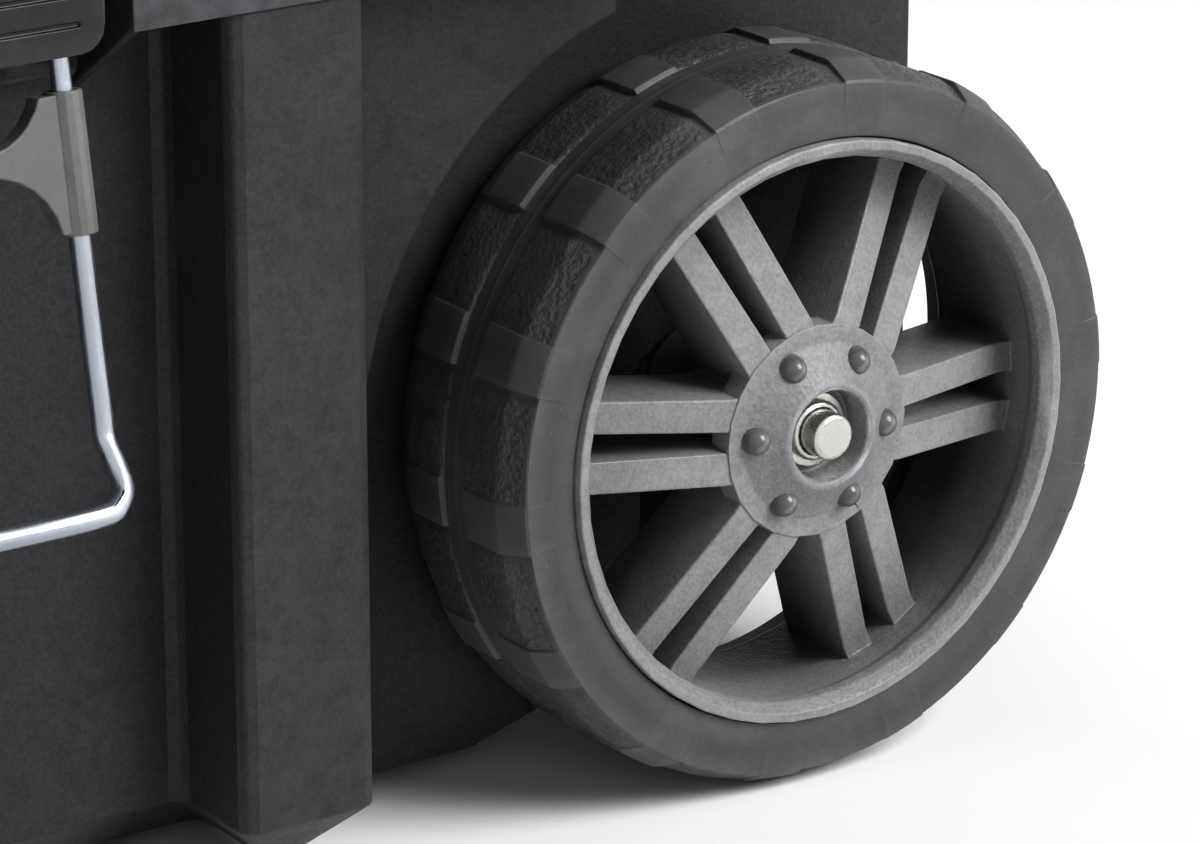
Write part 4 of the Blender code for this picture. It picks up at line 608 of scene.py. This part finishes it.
# Radius, depth from the tyre's face, how much of the drop shows there, and of the pads' step
tyre_rows = (
    (0.0807, 0.0040, 0.0, 0.0),
    (0.0807, 0.0007, 0.0, 0.0),
    (0.0810, 0.0002, 0.0, 0.0),
    (0.0818, 0.0, 0.0, 0.0),
    (0.0876, 0.0, 0.0, 0.0),
    (0.0882, 0.0, 0.0, 1.0),
    (0.0915, 0.0, 0.0, 1.0),
    (0.0952, 0.00005, 0.0, 1.0),
    (0.0959, 0.0005, 0.35, 0.6),
    (0.0966, 0.0017, 0.7, 0.0),
    (0.0982, 0.0048, 0.9, 0.0),
    (0.0995, 0.0076, 1.0, 0.0),
    (0.0999, 0.0086, 1.0, 0.0),
    (0.1000, 0.0097, 1.0, 0.0),
    (0.1000, 0.0140, 1.0, 0.0),
    (0.1000, 0.0185, 1.0, 0.0),
    (0.1000, 0.0228, 1.0, 0.0),
    (0.0999, 0.0235, 1.0, 0.0),
    (0.0994, 0.0240, 0.7, 0.0),
    (0.0987, 0.0244, 0.2, 0.0),
    (0.0985, 0.0250, 0.0, 0.0),
    (0.0985, 0.0276, 0.0, 0.0),
    (0.0985, 0.0285, 0.0, 0.0),
    (0.09862, 0.0288, 0.0, 0.0),
)
block_columns = range(9, 16)
block_rows = range(9, 19)
pad_columns = (0, 7, 8, *block_columns)
pad_step = 0.00018
seam_gap = 0.000004
all_rows = list(tyre_rows)
all_rows += [(radius, tyre_width - depth, drop, pad) for radius, depth, drop, pad in reversed(tyre_rows)]
all_rows.append(tyre_rows[0])


def tyre_place(column, row):
    """Where a crossing of the tyre's grid goes, on the front wheel."""
    pitch, step = divmod(column, len(pitch_columns))
    degrees, lowered = pitch_columns[step]
    angle = first_lug + math.radians(degrees) + pitch * 2 * math.pi / tread_pitches
    radius, depth, drop, pad = all_rows[row]
    radius -= lowered * drop
    if step in pad_columns:
        inward = 1.0 if depth < tyre_width / 2 else -1.0
        depth += inward * pad_step * pad
    x = wheel_centre.x + radius * math.cos(angle)
    z = wheel_centre.z + radius * math.sin(angle)
    return Vector((x, depth - tyre_face, z))


columns = len(pitch_columns) * tread_pitches
bands = len(all_rows) - 1
bpy.ops.object.select_all(action="DESELECT")
bpy.ops.mesh.primitive_grid_add(
    x_subdivisions=columns, y_subdivisions=bands, size=2.0, location=(0.0, 0.0, 0.0)
)
front_tyre = bpy.context.object
front_tyre.name = "tyre_front_moulding"
grid = bmesh.new()
grid.from_mesh(front_tyre.data)
for face in grid.faces:
    middle = face.calc_center_median()
    step = int((middle.x + 1.0) / 2 * columns) % len(pitch_columns)
    row = int((middle.y + 1.0) / 2 * bands)
    mirrored = bands - 2 - row
    face.material_index = int(step in block_columns and (row in block_rows or mirrored in block_rows))
for vert in grid.verts:
    column = round((vert.co.x + 1.0) / 2 * columns)
    row = round((vert.co.y + 1.0) / 2 * bands)
    vert.co = tyre_place(column, row)
bmesh.ops.remove_doubles(grid, verts=grid.verts, dist=seam_gap)
bmesh.ops.recalc_face_normals(grid, faces=grid.faces)
grid.to_mesh(front_tyre.data)
grid.free()
select_only(front_tyre)
bpy.ops.object.shade_smooth_by_angle(angle=math.radians(24.0))
smooth_rubber = moulded_finish(
    "smooth_rubber", colour=(0.043, 0.043, 0.0465), worn_and_highlit=(0.11, 0.11, 0.115), roughness=0.48,
    depth=0.00004, bump=0.5, marks=0.22, level=0.32,
)
block_rubber = moulded_finish(
    "block_rubber", colour=(0.040, 0.041, 0.044), worn_and_highlit=(0.10, 0.10, 0.105), roughness=0.52,
    grain=620.0, depth=0.0007, bump=1.0, marks=0.22, level=0.45, pit_shade=0.95,
)


def mirrored_copy(piece, name):
    """The same piece on the other side of the box, with its faces turned outwards again."""
    twin = bpy.data.objects.new(name, piece.data.copy())
    scene.collection.objects.link(twin)
    twin.data.transform(Matrix.Scale(-1.0, 4, (0.0, 1.0, 0.0)))
    twin.data.flip_normals()
    return twin


rear_tyre = mirrored_copy(front_tyre, "tyre_rear_moulding")
for tyre, end in ((front_tyre, "front"), (rear_tyre, "rear")):
    rubbers = [polygon.material_index for polygon in tyre.data.polygons]
    dress(tyre, "wheel_" + end, "tyre_rubber", smooth_rubber, "tyre_" + end)
    tyre.data.materials.append(block_rubber)
    tyre.data.polygons.foreach_set("material_index", rubbers)


# Rims
# Grey mouldings with six pairs of spokes that slope back from the hub's disc to the rim, a round boss
# round the axle, and six small domed nuts pressed in its foot. The rim is painted darker deep inside, as
# painted shade in blotches.
rim_plastic = moulded_finish(
    "rim_plastic", colour=(0.205, 0.205, 0.213), worn_and_highlit=(0.40, 0.40, 0.415), roughness=0.42,
    grain=1000.0, depth=0.00020, bump=1.0, marks=0.14, level=0.38, pit_shade=0.45,
)
rim_face = 0.189
deep_shade_starts = 0.010
deep_shade_is_full = 0.034
deep_shade_share = 0.88
deep_shade_colour = (0.020, 0.019, 0.018)
blotches_per_metre = 60.0
rim_tree = rim_plastic.node_tree
rim_colour = rim_tree.nodes["Principled BSDF"].inputs["Base Color"]
rim_place = rim_tree.nodes.new("ShaderNodeTexCoord").outputs["Object"]
split_place = rim_tree.nodes.new("ShaderNodeSeparateXYZ")
rim_tree.links.new(rim_place, split_place.inputs["Vector"])
from_middle = value_node(rim_tree, "ABSOLUTE", split_place.outputs["Y"])
# Painted shade: the rim's colour darkens, in blotches, the deeper it lies behind its face.
deep_shade = range_node(
    rim_tree, from_middle, rim_face - deep_shade_starts, rim_face - deep_shade_is_full, to_high=deep_shade_share
)
blotches = noise_node(rim_tree, rim_place, blotches_per_metre, detail=3.0)
blotches = range_node(rim_tree, blotches, 0.2, 0.6, to_low=0.75)
deep_shade = value_node(rim_tree, "MULTIPLY", deep_shade, blotches)
unshaded_colour = rim_colour.links[0].from_socket
rim_tree.links.new(blend_colours(rim_tree, deep_shade, unshaded_colour, deep_shade_colour), rim_colour)
for end in ("front", "rear"):
    node = "rim_" + end
    rim = rounded_copy(node, node + "_moulding", width=0.00055)
    dress(rim, "wheel_" + end, "rim_plastic", rim_plastic, node)

nut_plastic = moulded_finish(
    "nut_plastic", colour=(0.045, 0.045, 0.048), worn_and_highlit=(0.16, 0.16, 0.165), roughness=0.22,
    depth=0.00002, bump=0.3, level=0.45,
)
nut_count = 6
first_nut = math.radians(-4.0)
nut_circle = 0.0212
nut_radius = 0.0041
nut_height = 0.0050
nut_root = 0.0005
disc_face = 0.1845
bpy.ops.object.select_all(action="DESELECT")
bpy.ops.mesh.primitive_uv_sphere_add(
    segments=20, ring_count=12, radius=nut_radius, location=(0.0, 0.0, 0.0)
)
front_nuts = bpy.context.object
front_nuts.name = "wheel_nuts_front"
bpy.ops.object.mode_set(mode="EDIT")
bpy.ops.mesh.select_all(action="SELECT")
bpy.ops.mesh.bisect(
    plane_co=(0.0, 0.0, -nut_root), plane_no=(0.0, 0.0, 1.0), clear_inner=True, use_fill=True
)
bpy.ops.object.mode_set(mode="OBJECT")
front_nuts.data.transform(Matrix.Diagonal((1.0, 1.0, nut_height / nut_radius, 1.0)))
front_nuts.data.transform(Matrix.Rotation(math.radians(90.0), 4, "X"))
copies = [bpy.data.objects.new("wheel_nut", front_nuts.data.copy()) for _ in range(nut_count - 1)]
for number, nut in enumerate((front_nuts, *copies)):
    angle = first_nut + number * 2 * math.pi / nut_count
    place = Vector((math.cos(angle), 0.0, math.sin(angle))) * nut_circle + wheel_centre
    place.y = -disc_face
    nut.data.transform(Matrix.Translation(place))
select_only(front_nuts)
for nut in copies:
    scene.collection.objects.link(nut)
    nut.select_set(True)
bpy.ops.object.join()
bpy.ops.object.shade_smooth_by_angle(angle=math.radians(40.0))
dress(front_nuts, "wheel_front", "rim_plastic", nut_plastic)
dress(mirrored_copy(front_nuts, "wheel_nuts_rear"), "wheel_rear", "rim_plastic", nut_plastic)


# Hub bushes, axle, spacers, washers and nuts
# The rims turn on nylon bushes on one steel axle. At each side a spacer keeps the wheel off the tub, and
# a plated washer and a collar nut keep it on.
bush_nylon = moulded_finish(
    "bush_nylon", colour=(0.58, 0.56, 0.50), worn_and_highlit=(0.66, 0.64, 0.58), roughness=0.45,
    depth=0.00002, bump=0.3, marks=0.2,
)
for end in ("front", "rear"):
    for seat in ("outer", "inner"):
        node = f"bush_{seat}_{end}"
        bush = rounded_copy(node, f"hub_{seat}_bush_{end}", width=0.0004)
        dress(bush, "wheel_" + end, "bush_plastic", bush_nylon, node)
    for part, width in (("washer", 0.0004), ("nut", 0.0006)):
        node = f"axle_{part}_{end}"
        fixing = rounded_copy(node, f"hub_{part}_{end}", width, segments=3)
        dress(fixing, "base", "nickel_steel", nickel_steel, node)
    node = "axle_spacer_" + end
    spacer = rounded_copy(node, "hub_spacer_" + end, width=0.0005)
    dress(spacer, "base", "bush_plastic", bush_nylon, node)
axle = rounded_copy("axle", "wheel_axle", width=0.0004, segments=3)
dress(axle, "base", "nickel_steel", nickel_steel, "axle")


# Axle saddles
# Two black mouldings under the tub's slot carry the axle, each held by two screws from below. The same
# plated screws hold the pull handle's brackets.
for end in ("front", "rear"):
    node = "axle_saddle_" + end
    saddle = rounded_copy(node, "axle_cradle_" + end, width=0.0007)
    dress(saddle, "base", "body_plastic", body_plastic, node)
for number in range(1, 5):
    for node, name in (
        (f"saddle_screw_{number}", f"cradle_screw_{number}"),
        (f"bracket_screw_{number}", f"rail_screw_{number}"),
    ):
        screw = rounded_copy(node, name, width=0.0004)
        dress(screw, "base", "nickel_steel", nickel_steel, node)


# Feet
# Soft pads under the end away from the wheels.
for end in ("front", "rear"):
    node = "foot_" + end
    foot = rounded_copy(node, "foot_pad_" + end, width=0.0010)
    dress(foot, "base", "grip_rubber", soft_rubber, node)


# Telescopic pull handle
# Two outer tubes stand in brackets screwed to the end. Two middle tubes joined by a bridge slide in
# them, and two upper tubes joined by the grip slide in those. A button in the grip frees the tubes.
tube_aluminium = metal_finish(
    "tube_aluminium", (0.46, 0.47, 0.49), roughness=0.34, drawn=(1.0, 1.0, 0.03), streaks=1500.0
)
button_plastic = moulded_finish(
    "button_plastic", colour=(0.28, 0.28, 0.27), worn_and_highlit=(0.40, 0.40, 0.38), roughness=0.38,
    depth=0.00003, bump=0.4, marks=0.15,
)
for level in ("lower", "upper"):
    node = "guide_bracket_" + level
    bracket = rounded_copy(node, "rail_bracket_" + level, width=0.0010)
    dress(bracket, "base", "body_plastic", body_plastic, node)
for end in ("front", "rear"):
    for part, body in (
        ("guide_tube", "base"), ("middle_tube", "pull_middle"), ("upper_tube", "pull_upper")
    ):
        node = f"{part}_{end}"
        tube = rounded_copy(node, "pull_" + node, width=0.0004)
        dress(tube, body, "tube_aluminium", tube_aluminium, node)
bridge = rounded_copy("handle_bridge", "pull_bridge", width=0.0010)
dress(bridge, "pull_middle", "latch_plastic", latch_plastic, "handle_bridge")
pull_grip = rounded_copy("pull_grip", "pull_bar", width=0.0010)
dress(pull_grip, "pull_upper", "grip_rubber", soft_rubber, "pull_grip")
button = rounded_copy("release_button", "pull_button", width=0.0008)
dress(button, "release_button", "button_plastic", button_plastic, "release_button")
